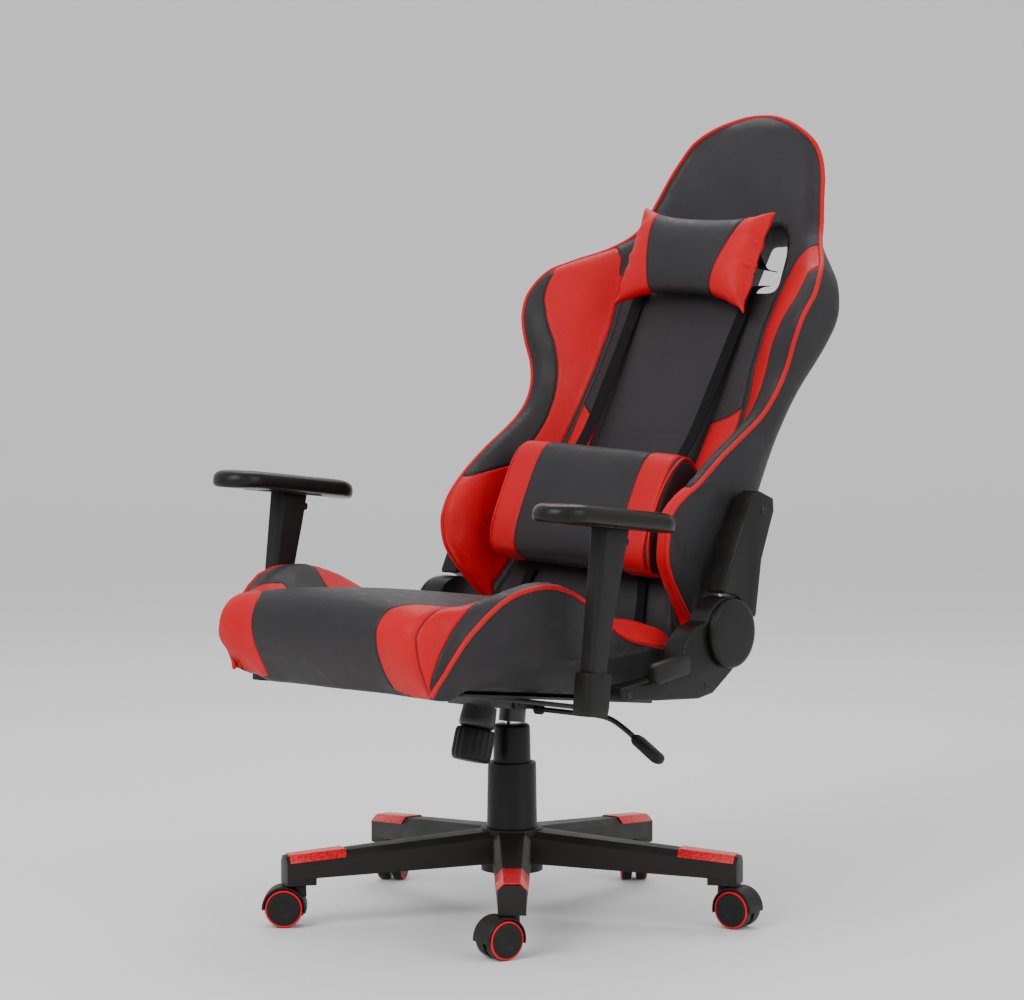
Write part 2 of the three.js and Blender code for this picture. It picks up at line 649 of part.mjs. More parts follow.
function armBracket() {
  const top = FRAME_BOTTOM - GAP;
  const bottom = top - BAR_THICKNESS;
  const foot = BAR_FOOT_WIDTH / 2;
  const half = BAR_WIDTH / 2;
  const flat = outline([
    [BAR_START, ARM_Y - foot],
    [BAR_START + 60, ARM_Y - foot],
    [BAR_START + 110, ARM_Y - half],
    [ARM_X + BAR_THICKNESS / 2, ARM_Y - half],
    [ARM_X + BAR_THICKNESS / 2, ARM_Y + half],
    [BAR_START + 110, ARM_Y + half],
    [BAR_START + 60, ARM_Y + foot],
    [BAR_START, ARM_Y + foot],
  ]);
  const upright = block([ARM_X - BAR_THICKNESS / 2, ARM_Y - half, bottom], [ARM_X + BAR_THICKNESS / 2, ARM_Y + half, UPRIGHT_TOP]);
  return slabZ(flat, bottom, top).add(upright);
}

function barSpace(grow) {
  const top = FRAME_BOTTOM - GAP + grow;
  const bottom = FRAME_BOTTOM - GAP - BAR_THICKNESS - grow;
  const half = BAR_WIDTH / 2 + grow;
  const out = BAR_THICKNESS / 2 + grow;
  const flat = block([ARM_X - 60, ARM_Y - half, bottom], [ARM_X + out, ARM_Y + half, top]);
  const upright = block([ARM_X - out, ARM_Y - half, bottom], [ARM_X + out, ARM_Y + half, UPRIGHT_TOP + 60]);
  return flat.add(upright);
}

const roundedBlock = (width, depth, corner) => {
  const x = width / 2;
  const y = depth / 2;
  return [
    [-x + corner, -y], [x - corner, -y], [x, -y + corner], [x, y - corner],
    [x - corner, y], [-x + corner, y], [-x, y - corner], [-x, -y + corner],
  ];
};

function armSleeve() {
  const section = (width, depth, z) => roundedBlock(width, depth, 6)
    .map(([x, y]) => new THREE.Vector3(ARM_X + x, ARM_Y + y, z));
  const shell = loft([
    section(SLEEVE_WIDTH - 2, SLEEVE_DEPTH - 2, SLEEVE_BOTTOM),
    section(SLEEVE_WIDTH, SLEEVE_DEPTH, SLEEVE_BOTTOM + 12),
    section(SLEEVE_WIDTH, SLEEVE_DEPTH, SLEEVE_TOP - 6),
    section(SLEEVE_WIDTH - 2, SLEEVE_DEPTH - 2, SLEEVE_TOP),
  ], flatXY);
  const cavity = block(
    [ARM_X - POST_WIDTH / 2 - 0.6, ARM_Y - POST_DEPTH / 2 - 0.6, FRAME_BOTTOM],
    [ARM_X + POST_WIDTH / 2 + 0.6, ARM_Y + POST_DEPTH / 2 + 0.6, SLEEVE_TOP + 1],
  );
  return shell.subtract(cavity).subtract(barSpace(GAP));
}

// the post's front edge is straight and its rear edge spreads towards the pad
function armPost() {
  const section = (width, depth, z, corner) => {
    const front = ARM_Y - POST_DEPTH / 2;
    return roundedBlock(width, depth, corner).map(([x, y]) => new THREE.Vector3(ARM_X + x, front + depth / 2 + y, z));
  };
  const shell = loft([
    section(POST_WIDTH, POST_DEPTH, POST_BOTTOM, 4),
    section(POST_WIDTH, POST_DEPTH, SLEEVE_TOP + 28, 4),
    section(POST_HEAD_WIDTH - 1, POST_HEAD_DEPTH - 4, POST_TOP - 40, 7),
    section(POST_HEAD_WIDTH, POST_HEAD_DEPTH, POST_TOP, 7),
  ], flatXY);
  const out = BAR_THICKNESS / 2 + 0.5;
  const half = BAR_WIDTH / 2 + 0.5;
  const bore = block([ARM_X - out, ARM_Y - half, POST_BOTTOM - 1], [ARM_X + out, ARM_Y + half, POST_BORE_TOP]);
  return shell.subtract(bore).subtract(buttonSpace());
}

// the height button sits in the rear face of the post's head
const BUTTON_REAR = ARM_Y - POST_DEPTH / 2 + POST_HEAD_DEPTH + BUTTON_PROUD;

function armButton() {
  const [width, depth, height] = BUTTON_SIZE;
  const section = (scale, y) => roundedBlock(width * scale, height * scale, 2)
    .map(([x, z]) => new THREE.Vector3(ARM_X + x, y, BUTTON_Z + z));
  return loft([section(1, BUTTON_REAR - depth), section(1, BUTTON_REAR - 2), section(0.8, BUTTON_REAR)], flatXZ);
}

function buttonSpace() {
  const [width, depth, height] = BUTTON_SIZE;
  const x = width / 2 + 0.5;
  const z = height / 2 + 0.5;
  const floor = BUTTON_REAR - depth - BUTTON_TRAVEL - 1;
  return block([ARM_X - x, floor, BUTTON_Z - z], [ARM_X + x, BUTTON_REAR + 5, BUTTON_Z + z]);
}

function armPad() {
  const [width, length, thickness] = PAD_SIZE;
  const bottom = POST_TOP + GAP + PAD_PLATE[2];
  const centreY = ARM_Y;
  const edge = (scale) => {
    const shape = new THREE.Shape();
    const radius = width / 2;
    const straight = length / 2 - radius;
    shape.absarc(0, straight, radius, 0, Math.PI, false);
    shape.absarc(0, -straight, radius, Math.PI, 2 * Math.PI, false);
    const inset = (1 - scale) * radius;
    return shape.getPoints(7).slice(0, -1).map((point) => {
      const reach = Math.max(Math.abs(point.y) - inset, 0);
      return [point.x * scale, Math.sign(point.y) * reach];
    });
  };
  const section = (scale, z) => edge(scale).map(([x, y]) => new THREE.Vector3(ARM_X + x, centreY + y, z));
  const pad = loft([
    section(0.86, bottom),
    section(1, bottom + 7),
    section(1, bottom + thickness - 8),
    section(0.82, bottom + thickness),
  ], flatXY);
  const [plateWidth, plateLength] = PAD_PLATE;
  const plate = block(
    [ARM_X - plateWidth / 2, centreY - plateLength / 2, POST_TOP + GAP],
    [ARM_X + plateWidth / 2, centreY + plateLength / 2, bottom + 1],
  );
  return pad.add(plate);
}

// ---------------------------------------------------------------- recliner, built for +X
function lowerCoverOutline() {
  const shape = new THREE.Shape();
  shape.moveTo(-92, 10);
  shape.lineTo(-12, 12);
  shape.lineTo(85, 17);
  shape.lineTo(117, 26);
  shape.lineTo(150, RECLINE_Z - COVER_HUB_RADIUS - 9);
  shape.absarc(RECLINE_Y, RECLINE_Z, COVER_HUB_RADIUS, radians(-62), radians(165), false);
  shape.lineTo(62, 118);
  shape.lineTo(44, 98);
  shape.lineTo(34, 66);
  shape.lineTo(-4, 44);
  shape.lineTo(-92, 27);
  return shape;
}

function reclinerCover() {
  const plate = slabX(lowerCoverOutline(), COVER_INNER_X, COVER_OUTER_X);
  const bore = bar('x', PIN_RADIUS + GAP, COVER_INNER_X - 1, COVER_OUTER_X + 1, [RECLINE_Y, RECLINE_Z], 20);
  return plate.subtract(bore);
}

function reclinerCap() {
  const start = COVER_OUTER_X + GAP;
  const disc = turned([
    [0, 0],
    [CAP_RADIUS, 0],
    [CAP_RADIUS, CAP_THICKNESS - 4],
    [CAP_RADIUS - 5, CAP_THICKNESS],
    [0, CAP_THICKNESS],
  ], 30).rotate([0, 90, 0]).translate([start, RECLINE_Y, RECLINE_Z]);
  const pin = bar('x', PIN_RADIUS, PIN_INNER_X, start + 1, [RECLINE_Y, RECLINE_Z], 20);
  return disc.add(pin);
}

function reclineLever() {
  const [y, z] = PADDLE_PIVOT;
  const blade = outline([
    [y + 12, z - 13],
    [y + 14, z + 8],
    [y + 4, z + 15],
    [y - PADDLE_LENGTH + 20, z - 1],
    [y - PADDLE_LENGTH + 12, z - 8],
    [y - PADDLE_LENGTH + 14, z - 26],
    [y - PADDLE_LENGTH + 24, z - 30],
  ]);
  return slabX(blade, COVER_OUTER_X + 1, COVER_OUTER_X + 19);
}

// ---------------------------------------------------------------- back
// back bracket: the cover of the upper hinge plate, starting just outside the lower cover's hub
function backBracket() {
  const near = COVER_HUB_RADIUS + BRACKET_CLEARANCE;
  const shape = new THREE.Shape();
  shape.moveTo(-34, near - 4);
  shape.lineTo(-36, 150);
  shape.lineTo(-34, 204);
  shape.lineTo(-22, 218);
  shape.lineTo(12, 222);
  shape.lineTo(22, 206);
  shape.lineTo(28, 130);
  shape.lineTo(54, 50);
  shape.absarc(0, 0, near, radians(42), radians(122), false);
  const cover = slabX(shape, COVER_INNER_X, COVER_OUTER_X - 4);
  const hub = bar('x', near, COVER_INNER_X - 1, COVER_OUTER_X, [0, 0], 36);
  return cover.subtract(hub);
}

// steel frame: an upside-down U of tube on a cross tube, with a hinge plate at each end
function tubeAlong(points, radius, steps) {
  const route = new THREE.CatmullRomCurve3(points, false, 'centripetal');
  const section = new THREE.Shape();
  section.absarc(0, 0, radius, 0, 2 * Math.PI, false);
  return solid(new THREE.ExtrudeGeometry(section, { steps, extrudePath: route, curveSegments: 4, bevelEnabled: false }));
}

function frameHoop(radius) {
  const y = FRAME_TUBE_DEPTH;
  const at = (x, z) => new THREE.Vector3(x, y, z);
  const x = FRAME_TUBE_X;
  const top = FRAME_TUBE_TOP;
  return tubeAlong([
    at(-x, FRAME_CROSS_Z), at(-x, top * 0.4), at(-x, top - 60), at(-x + 18, top - 18), at(-x + 60, top),
    at(x - 60, top), at(x - 18, top - 18), at(x, top - 60), at(x, top * 0.4), at(x, FRAME_CROSS_Z),
  ], radius, 24);
}

function backrestFrame() {
  const plateX = PIN_INNER_X + 5;
  const cross = bar('x', FRAME_TUBE_RADIUS + 1, -plateX - 1, plateX + 1, [FRAME_TUBE_DEPTH, FRAME_CROSS_Z], 14);
  const plate = outline([[-18, -4], [-12, -18], [FRAME_TUBE_DEPTH - 4, FRAME_CROSS_Z - 12], [FRAME_TUBE_DEPTH + 10, FRAME_CROSS_Z - 6],
    [FRAME_TUBE_DEPTH + 12, FRAME_CROSS_Z + 8], [14, 14], [2, 20], [-12, 16]]);
  const left = slabX(plate, plateX, plateX + 5);
  const right = slabX(plate, -plateX - 5, -plateX);
  const pinHole = bar('x', PIN_RADIUS + GAP, -plateX - 6, plateX + 6, [0, 0], 20);
  return unite(frameHoop(FRAME_TUBE_RADIUS), cross, left.subtract(pinHole), right.subtract(pinHole));
}

// stations up the back: height, half width, piping depth, bolster crown, panel edge, panel, rear side, rear
// depths are measured forward of the recline axis
const BACK_STATIONS = [
  { z: -22, half: 198, piping: -26, crown: [186, -16], panel: [160, -8], front: -4, rearSide: -50, rear: -64 },
  { z: 18, half: 206, piping: -8, crown: [194, 6], panel: [166, 6], front: 10, rearSide: -50, rear: -68 },
  { z: 47, half: 216, piping: 70, crown: [200, 78], panel: [168, 8], front: 11, rearSide: -50, rear: -70 },
  { z: 90, half: 227, piping: 120, crown: [206, 126], panel: [170, 4], front: 8, rearSide: -50, rear: -71 },
  { z: 135, half: 228, piping: 130, crown: [208, 136], panel: [172, -2], front: 2, rearSide: -50, rear: -71 },
  { z: 194, half: 236, piping: 103, crown: [214, 112], panel: [172, -10], front: -6, rearSide: -50, rear: -71 },
  { z: 250, half: 238, piping: 74, crown: [216, 82], panel: [168, -18], front: -13, rearSide: -50, rear: -72 },
  { z: 310, half: 239, piping: 37, crown: [216, 44], panel: [160, -24], front: -20, rearSide: -50, rear: -72 },
  { z: 380, half: 248, piping: 11, crown: [222, 18], panel: [152, -27], front: -23, rearSide: -50, rear: -72 },
  { z: 450, half: 269, piping: 30, crown: [240, 30], panel: [150, -27], front: -23, rearSide: -47, rear: -72 },
  { z: 530, half: 289, piping: 45, crown: [258, 40], panel: [150, -28], front: -24, rearSide: -44, rear: -76 },
  { z: 590, half: 273, piping: 26, crown: [246, 20], panel: [152, -30], front: -27, rearSide: -42, rear: -73 },
  { z: 650, half: 217, piping: -22, crown: [200, -20], panel: [160, -36], front: -31, rearSide: -56, rear: -78 },
  { z: 705, half: 184, piping: -49, crown: [172, -42], panel: [150, -38], front: -34, rearSide: -72, rear: -87 },
  { z: 790, half: 157, piping: -48, crown: [144, -41], panel: [118, -36], front: -33, rearSide: -76, rear: -90 },
  { z: 845, half: 129, piping: -43, crown: [116, -38], panel: [92, -34], front: -32, rearSide: -70, rear: -86 },
  { z: 878, half: 86, piping: -38, crown: [76, -35], panel: [60, -33], front: -32, rearSide: -58, rear: -68 },
  { z: 900, half: 24, piping: -44, crown: [20, -42], panel: [12, -41], front: -41, rearSide: -52, rear: -54 },
];

function backrest() {
  const rings = BACK_STATIONS.map((station) => {
    const half = [
      [0, station.front],
      station.panel,
      station.crown,
      [station.half, station.piping],
      [station.half - 2, Math.min(station.piping - 10, station.rearSide + 14)],
      [station.half - 18, station.rearSide],
      [0, station.rear],
    ];
    return mirrorRing(half).map(([x, depth]) => new THREE.Vector3(x, -depth, station.z));
  });
  const slot = (side) => {
    const points = [
      [SLOT_INNER, SLOT_BOTTOM],
      [SLOT_OUTER, SLOT_BOTTOM],
      [SLOT_OUTER - 6, SLOT_TOP - 46],
      [SLOT_OUTER - 20, SLOT_TOP - 12],
      [SLOT_OUTER - 34, SLOT_TOP],
      [SLOT_INNER + 6, SLOT_TOP - 8],
    ];
    return slabY(outline(points.map(([x, z]) => [side * x, z])), -80, 160);
  };
  const pocket = frameHoop(FRAME_TUBE_RADIUS + 0.6);
  return loft(rings, flatXY).subtract(slot(1)).subtract(slot(-1)).subtract(pocket);
}

// ---------------------------------------------------------------- pillows
// a cushion block with rounded edges; depth runs forward
function pillow([width, depth, height], [forward, up], waist) {
  const ring = (x, scale) => {
    const points = Array.from({ length: 12 }, (_, index) => {
      const angle = (2 * Math.PI * (index + 0.5)) / 12;
      const round = (value) => Math.sign(value) * Math.abs(value) ** 0.6;
      return [round(Math.cos(angle)) * (depth / 2) * scale, round(Math.sin(angle)) * (height / 2) * scale];
    });
    return points.map(([y, z]) => new THREE.Vector3(x, y - forward, z + up));
  };
  const half = width / 2;
  const edges = [[-half, 0.6], [-half + 14, 0.92], [-half * 0.5, 1], [0, waist], [half * 0.5, 1], [half - 14, 0.92], [half, 0.6]];
  return loft(edges.map(([x, scale]) => ring(x, scale)), flatYZ);
}

// ---------------------------------------------------------------- the chair
const chair = new THREE.Group();

const base = new THREE.Group();
chair.add(base);
node('star_base', starBase(), NYLON, base);
for (let index = 0; index < LEG_COUNT; index += 1) {
  const leg = new THREE.Group();
  leg.rotation.z = radians(legAngle(index));
  base.add(leg);
  node(`leg_pad_${index + 1}`, legPad(), RED_PLASTIC, leg);
  const caster = new THREE.Group();
  caster.position.x = SOCKET_RADIUS;
  caster.rotation.z = radians(CASTER_HEADINGS[index] - legAngle(index));
  leg.add(caster);
  node(`caster_stem_${index + 1}`, casterStem(), CHROME, caster);
  node(`caster_hood_${index + 1}`, casterHood(), MOULDED, caster);
  node(`caster_wheel_left_${index + 1}`, casterWheel(1), WHEEL_RUBBER, caster);
  node(`caster_wheel_right_${index + 1}`, casterWheel(-1), WHEEL_RUBBER, caster);
}

node('gas_cylinder', gasCylinder(), STEEL, chair);
node('column_cover_lower', lowerCover(), MOULDED, chair);
node('gas_piston', bar('z', ROD_RADIUS, ROD_BOTTOM, ROD_TOP, [0, 0], 28), CHROME, chair);
node('column_cover_upper', upperCover(), MOULDED, chair);

const seat = new THREE.Group();
seat.position.z = SEAT_HEIGHT;
seat.rotation.x = radians(-SEAT_RAKE);
chair.add(seat);
node('tilt_housing', tiltHousing().subtract(uprightRodSpace()), STEEL, seat);
node('tension_cup', tensionCup(), MOULDED, seat);
node('tension_knob', tensionKnob(), MOULDED, seat);
node('lever_bush', leverBush(), MOULDED, seat);
node('height_lever_rod', heightLeverRod(), STEEL, seat);
node('height_lever_grip', heightLeverGrip(), MOULDED, seat);
node('tilt_plate', tiltPlate(), STEEL, seat);
node('seat_frame', seatFrame(), STEEL, seat);
node('seat_cushion', seatCushion(), LEATHER, seat);

const back = new THREE.Group();
back.position.set(0, RECLINE_Y, RECLINE_Z);
back.rotation.x = radians(-RECLINE_ANGLE);
seat.add(back);

const SIDES = [['left', 1], ['right', -1]];
const onSide = (body, side) => (side === 1 ? body : body.mirror([1, 0, 0]));
for (const [label, side] of SIDES) {
  const lift = side === 1 ? 0 : ARM_STEP;
  node(`arm_bracket_${label}`, onSide(armBracket(), side), STEEL, seat);
  node(`arm_sleeve_${label}`, onSide(armSleeve(), side), MOULDED, seat);
  const arm = new THREE.Group();
  arm.position.z = lift;
  seat.add(arm);
  node(`arm_post_${label}`, onSide(armPost(), side), MOULDED, arm);
  node(`arm_button_${label}`, onSide(armButton(), side), MOULDED, arm);
  node(`arm_pad_${label}`, onSide(armPad(), side), MOULDED, arm);
  node(`recliner_cover_${label}`, onSide(reclinerCover(), side), MOULDED, seat);
  node(`recliner_cap_${label}`, onSide(reclinerCap(), side), MOULDED, seat);
  node(`back_bracket_${label}`, onSide(backBracket(), side), MOULDED, back);
}
node('recline_lever', reclineLever(), MOULDED, seat);
node('backrest_frame', backrestFrame(), STEEL, back);
node('backrest', backrest(), LEATHER, back);
node('lumbar_pillow', pillow(LUMBAR_SIZE, LUMBAR_CENTRE, 1), LEATHER, back);
node('head_pillow', pillow(HEAD_PILLOW_SIZE, HEAD_PILLOW_CENTRE, 0.86), RED_LEATHER, back);

// set the chair down with the middle of its box over the origin, to the nearest millimetre
chair.updateMatrixWorld(true);
const middle = new THREE.Box3().setFromObject(chair, true).getCenter(new THREE.Vector3());
chair.position.set(-Math.round(middle.x), -Math.round(middle.y), 0);

export default chair;
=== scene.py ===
# Gaming chair: the finished look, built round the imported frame. Metres in Blender; outlines below are in mm.
import json
import math

import bmesh
import bpy
import numpy as np
from mathutils import Matrix, Vector
from mathutils.bvhtree import BVHTree
from mathutils.kdtree import KDTree

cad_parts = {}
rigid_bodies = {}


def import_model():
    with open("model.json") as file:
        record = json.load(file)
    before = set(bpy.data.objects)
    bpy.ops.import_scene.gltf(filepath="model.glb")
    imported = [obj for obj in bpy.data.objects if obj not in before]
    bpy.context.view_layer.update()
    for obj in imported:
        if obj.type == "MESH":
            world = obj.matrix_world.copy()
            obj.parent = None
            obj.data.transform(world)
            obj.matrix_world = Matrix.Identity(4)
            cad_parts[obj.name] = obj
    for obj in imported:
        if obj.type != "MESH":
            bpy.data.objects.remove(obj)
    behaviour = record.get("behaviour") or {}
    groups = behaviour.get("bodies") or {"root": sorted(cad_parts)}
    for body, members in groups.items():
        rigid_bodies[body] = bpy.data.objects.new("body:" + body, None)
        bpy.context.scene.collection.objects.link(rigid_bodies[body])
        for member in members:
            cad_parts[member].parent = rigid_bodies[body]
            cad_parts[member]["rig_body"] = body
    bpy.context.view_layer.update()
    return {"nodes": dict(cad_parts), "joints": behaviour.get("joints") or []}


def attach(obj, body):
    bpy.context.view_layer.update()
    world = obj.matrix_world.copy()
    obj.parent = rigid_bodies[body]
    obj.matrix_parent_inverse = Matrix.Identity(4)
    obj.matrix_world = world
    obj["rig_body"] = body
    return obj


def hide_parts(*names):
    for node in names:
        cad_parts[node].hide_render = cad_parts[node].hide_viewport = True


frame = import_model()

MM = 0.001
JOINTS = {joint["name"]: joint for joint in frame["joints"]}
NODES = frame["nodes"]
SIDES = (("left", 1), ("right", -1))

# ---------------------------------------------------------------- places
# seat frame: x across, y rearward, z up. back frame: x across, n forward, w up the back.
COLUMN = Vector(JOINTS["seat_swivel"]["pos_m"])
HINGE = Vector(JOINTS["back_recline"]["pos_m"])
ACROSS = Vector((1, 0, 0))
SEAT_UP = Vector(JOINTS["arm_left_height"]["axis"])
BACK_UP = Vector(JOINTS["lumbar_pillow_slide"]["axis"])
SEAT_PLANE = 0.330
SEAT = (
    np.array((COLUMN.x, COLUMN.y, SEAT_PLANE)),
    np.array((ACROSS, SEAT_UP.cross(ACROSS), SEAT_UP)),
)
BACK = (np.array(HINGE), np.array((ACROSS, ACROSS.cross(BACK_UP), BACK_UP)))


def to_world(points, place):
    return place[0] + (np.asarray(points, float) * MM) @ place[1]


def to_local(points, place):
    return (np.asarray(points, float) - place[0]) @ place[1].T / MM


# ---------------------------------------------------------------- curves
def hermite(knots, values, at):
    """Smooth values through (knot, value) pairs, read at the places `at`."""
    knots = np.asarray(knots, float)
    values = np.asarray(values, float)
    slope = np.gradient(values, knots, axis=0)
    at = np.clip(at, knots[0], knots[-1])
    k = np.clip(np.searchsorted(knots, at, side="right") - 1, 0, len(knots) - 2)
    span = knots[k + 1] - knots[k]
    s = (at - knots[k]) / span
    if values.ndim > 1:
        s, span = s[:, None], span[:, None]
    return (
        (2 * s**3 - 3 * s**2 + 1) * values[k]
        + (s**3 - 2 * s**2 + s) * span * slope[k]
        + (-2 * s**3 + 3 * s**2) * values[k + 1]
        + (s**3 - s**2) * span * slope[k + 1]
    )


def smooth_path(points, count):
    """`count` points evenly spaced along a smooth curve through `points`."""
    points = np.asarray(points, float)
    steps = np.linalg.norm(np.diff(points, axis=0), axis=1)
    knots = np.concatenate(([0], np.cumsum(np.sqrt(steps))))
    fine = hermite(knots, points, np.linspace(0, knots[-1], 30 * len(points)))
    lengths = np.linalg.norm(np.diff(fine, axis=0), axis=1)
    run = np.concatenate(([0], np.cumsum(lengths)))
    target = np.linspace(0, run[-1], count)
    return np.stack([np.interp(target, run, fine[:, i]) for i in range(fine.shape[1])], 1)


def mirrored(points):
    """A path from the middle outwards, carried through to the other side as well."""
    points = np.asarray(points, float)
    other = points[:0:-1] * np.array([-1] + [1] * (points.shape[1] - 1))
    return np.concatenate((other, points))


def ramp(value, low, high):
    t = np.clip((value - low) / (high - low), 0, 1)
    return t * t * (3 - 2 * t)


# ---------------------------------------------------------------- meshes
def new_object(name, vertices, faces, smooth=True):
    mesh = bpy.data.meshes.new(name)
    mesh.from_pydata([tuple(v) for v in vertices], [], faces)
    mesh.validate()
    work = bmesh.new()
    work.from_mesh(mesh)
    bmesh.ops.recalc_face_normals(work, faces=work.faces)
    work.to_mesh(mesh)
    work.free()
    if smooth:
        mesh.shade_smooth()
    thing = bpy.data.objects.new(name, mesh)
    bpy.context.scene.collection.objects.link(thing)
    return thing


def ring_faces(rows, columns, closed_rows=False):
    faces = []
    for i in range(rows if closed_rows else rows - 1):
        for j in range(columns):
            k = (j + 1) % columns
            m = (i + 1) % rows
            faces.append((i * columns + j, i * columns + k, m * columns + k, m * columns + j))
    return faces


def lofted(name, rings, caps=True):
    """A closed surface through rings of equal point count."""
    rings = np.asarray(rings, float)
    rows, columns, _ = rings.shape
    faces = ring_faces(rows, columns)
    if caps:
        faces.append(tuple(range(columns)))
        faces.append(tuple((rows - 1) * columns + j for j in range(columns)))
    return new_object(name, rings.reshape(-1, 3), faces)


def frames_along(path, up):
    """Across and up directions at each point of a path, turning as little as possible."""
    tangents = np.gradient(path, axis=0)
    tangents /= np.linalg.norm(tangents, axis=1)[:, None]
    normal = np.asarray(up, float)
    across, ups = [], []
    for tangent in tangents:
        normal = normal - tangent * normal.dot(tangent)
        normal /= np.linalg.norm(normal)
        ups.append(normal.copy())
        across.append(np.cross(tangent, normal))
    return np.array(across), np.array(ups)


def swept(name, path, section, up, closed=False):
    """A section of (across, up) points in metres carried along a path in metres."""
    path = np.asarray(path, float)
    if closed:
        wrapped = np.concatenate((path[-3:], path, path[:3]))
        across, ups = frames_along(wrapped, up)
        across, ups = across[3:-3], ups[3:-3]
    else:
        across, ups = frames_along(path, up)
    section = np.asarray(section, float)
    rings = path[:, None] + across[:, None] * section[None, :, :1] + ups[:, None] * section[None, :, 1:]
    if not closed:
        return lofted(name, rings)
    rows, columns, _ = rings.shape
    return new_object(name, rings.reshape(-1, 3), ring_faces(rows, columns, closed_rows=True))


def circle(radius, count=12):
    angles = np.arange(count) * 2 * math.pi / count
    return np.stack((np.cos(angles), np.sin(angles)), 1) * radius


def tube(name, path, radius, up=(0, 0, 1), closed=False):
    return swept(name, path, circle(radius), up, closed)


def lathed(name, profile, centre, axis, count=72):
    """A solid of revolution: profile of (radius, height) in mm from axis to axis, height along `axis`."""
    axis = Vector(axis).normalized()
    side = axis.orthogonal().normalized()
    other = axis.cross(side)
    vertices, faces, rings = [], [], []
    for radius, height in profile:
        middle = Vector(centre) + axis * height * MM
        if radius < 1e-6:
            rings.append([len(vertices)])
            vertices.append(middle)
            continue
        rings.append(range(len(vertices), len(vertices) + count))
        for k in range(count):
            angle = 2 * math.pi * k / count
            vertices.append(middle + (side * math.cos(angle) + other * math.sin(angle)) * radius * MM)
    for low, high in zip(rings, rings[1:]):
        for k in range(count):
            n = (k + 1) % count
            corners = [low[k % len(low)], low[n % len(low)], high[n % len(high)], high[k % len(high)]]
            face = list(dict.fromkeys(corners))
            if len(face) > 2:
                faces.append(face)
    thing = new_object(name, vertices, faces)
    thing.data.set_sharp_from_angle(angle=math.radians(40))
    return thing


def joined(name, things):
    """One object from several, keeping their materials."""
    work = bmesh.new()
    slots = []
    for thing in things:
        start = len(work.faces)
        work.from_mesh(thing.data)
        work.faces.ensure_lookup_table()
        for face in work.faces[start:]:
            own = thing.data.materials[face.material_index] if thing.data.materials else None
            if own not in slots:
                slots.append(own)
            face.material_index = slots.index(own)
    mesh = bpy.data.meshes.new(name)
    work.to_mesh(mesh)
    work.free()
    for own in slots:
        mesh.materials.append(own)
    for thing in things:
        bpy.data.objects.remove(thing)
    whole = bpy.data.objects.new(name, mesh)
    bpy.context.scene.collection.objects.link(whole)
    return whole


def applied(thing):
    """Turns the object's modifiers into its mesh."""
    graph = bpy.context.evaluated_depsgraph_get()
    mesh = bpy.data.meshes.new_from_object(thing.evaluated_get(graph), depsgraph=graph)
    thing.modifiers.clear()
    old = thing.data
    thing.data = mesh
    bpy.data.meshes.remove(old)
    return thing


def coordinates(thing):
    flat = np.empty(len(thing.data.vertices) * 3, np.float32)
    thing.data.vertices.foreach_get("co", flat)
    return flat.reshape(-1, 3).astype(float)


def set_coordinates(thing, points):
    thing.data.vertices.foreach_set("co", np.asarray(points, np.float32).ravel())
    thing.data.update()


def vertex_normals(thing):
    flat = np.empty(len(thing.data.vertices) * 3, np.float32)
    thing.data.vertices.foreach_get("normal", flat)
    return flat.reshape(-1, 3).astype(float)


def attribute(thing, name, values):
    layer = thing.data.attributes.new(name, "FLOAT", "POINT")
    layer.data.foreach_set("value", np.asarray(values, np.float32))


def distance_to(points, path):
    """Distance in the points' own unit from each point to a densely sampled path."""
    tree = KDTree(len(path))
    for index, point in enumerate(path):
        tree.insert(Vector(point), index)
    tree.balance()
    return np.array([tree.find(Vector(point))[2] for point in points])


def away_from(points, path):
    """The step from the nearest place on a densely sampled path to each point."""
    tree = KDTree(len(path))
    for index, point in enumerate(path):
        tree.insert(Vector(point), index)
    tree.balance()
    return points - np.array([path[tree.find(Vector(point))[1]] for point in points])


def inside(x, y, corners):
    """Signed distance to a polygon in a plane, positive inside."""
    corners = np.asarray(corners, float)
    nearest = np.full(np.shape(x), 1e9)
    within = np.zeros(np.shape(x), bool)
    for (ax, ay), (bx, by) in zip(corners, np.roll(corners, -1, axis=0)):
        ex, ey = bx - ax, by - ay
        t = np.clip(((x - ax) * ex + (y - ay) * ey) / (ex * ex + ey * ey), 0, 1)
        nearest = np.minimum(nearest, np.hypot(x - ax - t * ex, y - ay - t * ey))
        crosses = (ay > y) != (by > y)
        with np.errstate(divide="ignore", invalid="ignore"):
            crossing = ax + (y - ay) * ex / ey
        within ^= crosses & (x < crossing)
    return np.where(within, nearest, -nearest)


def remeshed(thing, voxel, passes=2):
    modifier = thing.modifiers.new("even", "REMESH")
    modifier.mode = "VOXEL"
    modifier.voxel_size = voxel * MM
    modifier.use_smooth_shade = True
    applied(thing)
    relax(thing, passes)
    return thing


def relax(thing, passes):
    """Evens out a mesh, each point moving halfway to the middle of its neighbours."""
    work = bmesh.new()
    work.from_mesh(thing.data)
    for _ in range(passes):
        bmesh.ops.smooth_vert(
            work, verts=work.verts, factor=0.5, use_axis_x=True, use_axis_y=True, use_axis_z=True,
        )
    work.to_mesh(thing.data)
    work.free()


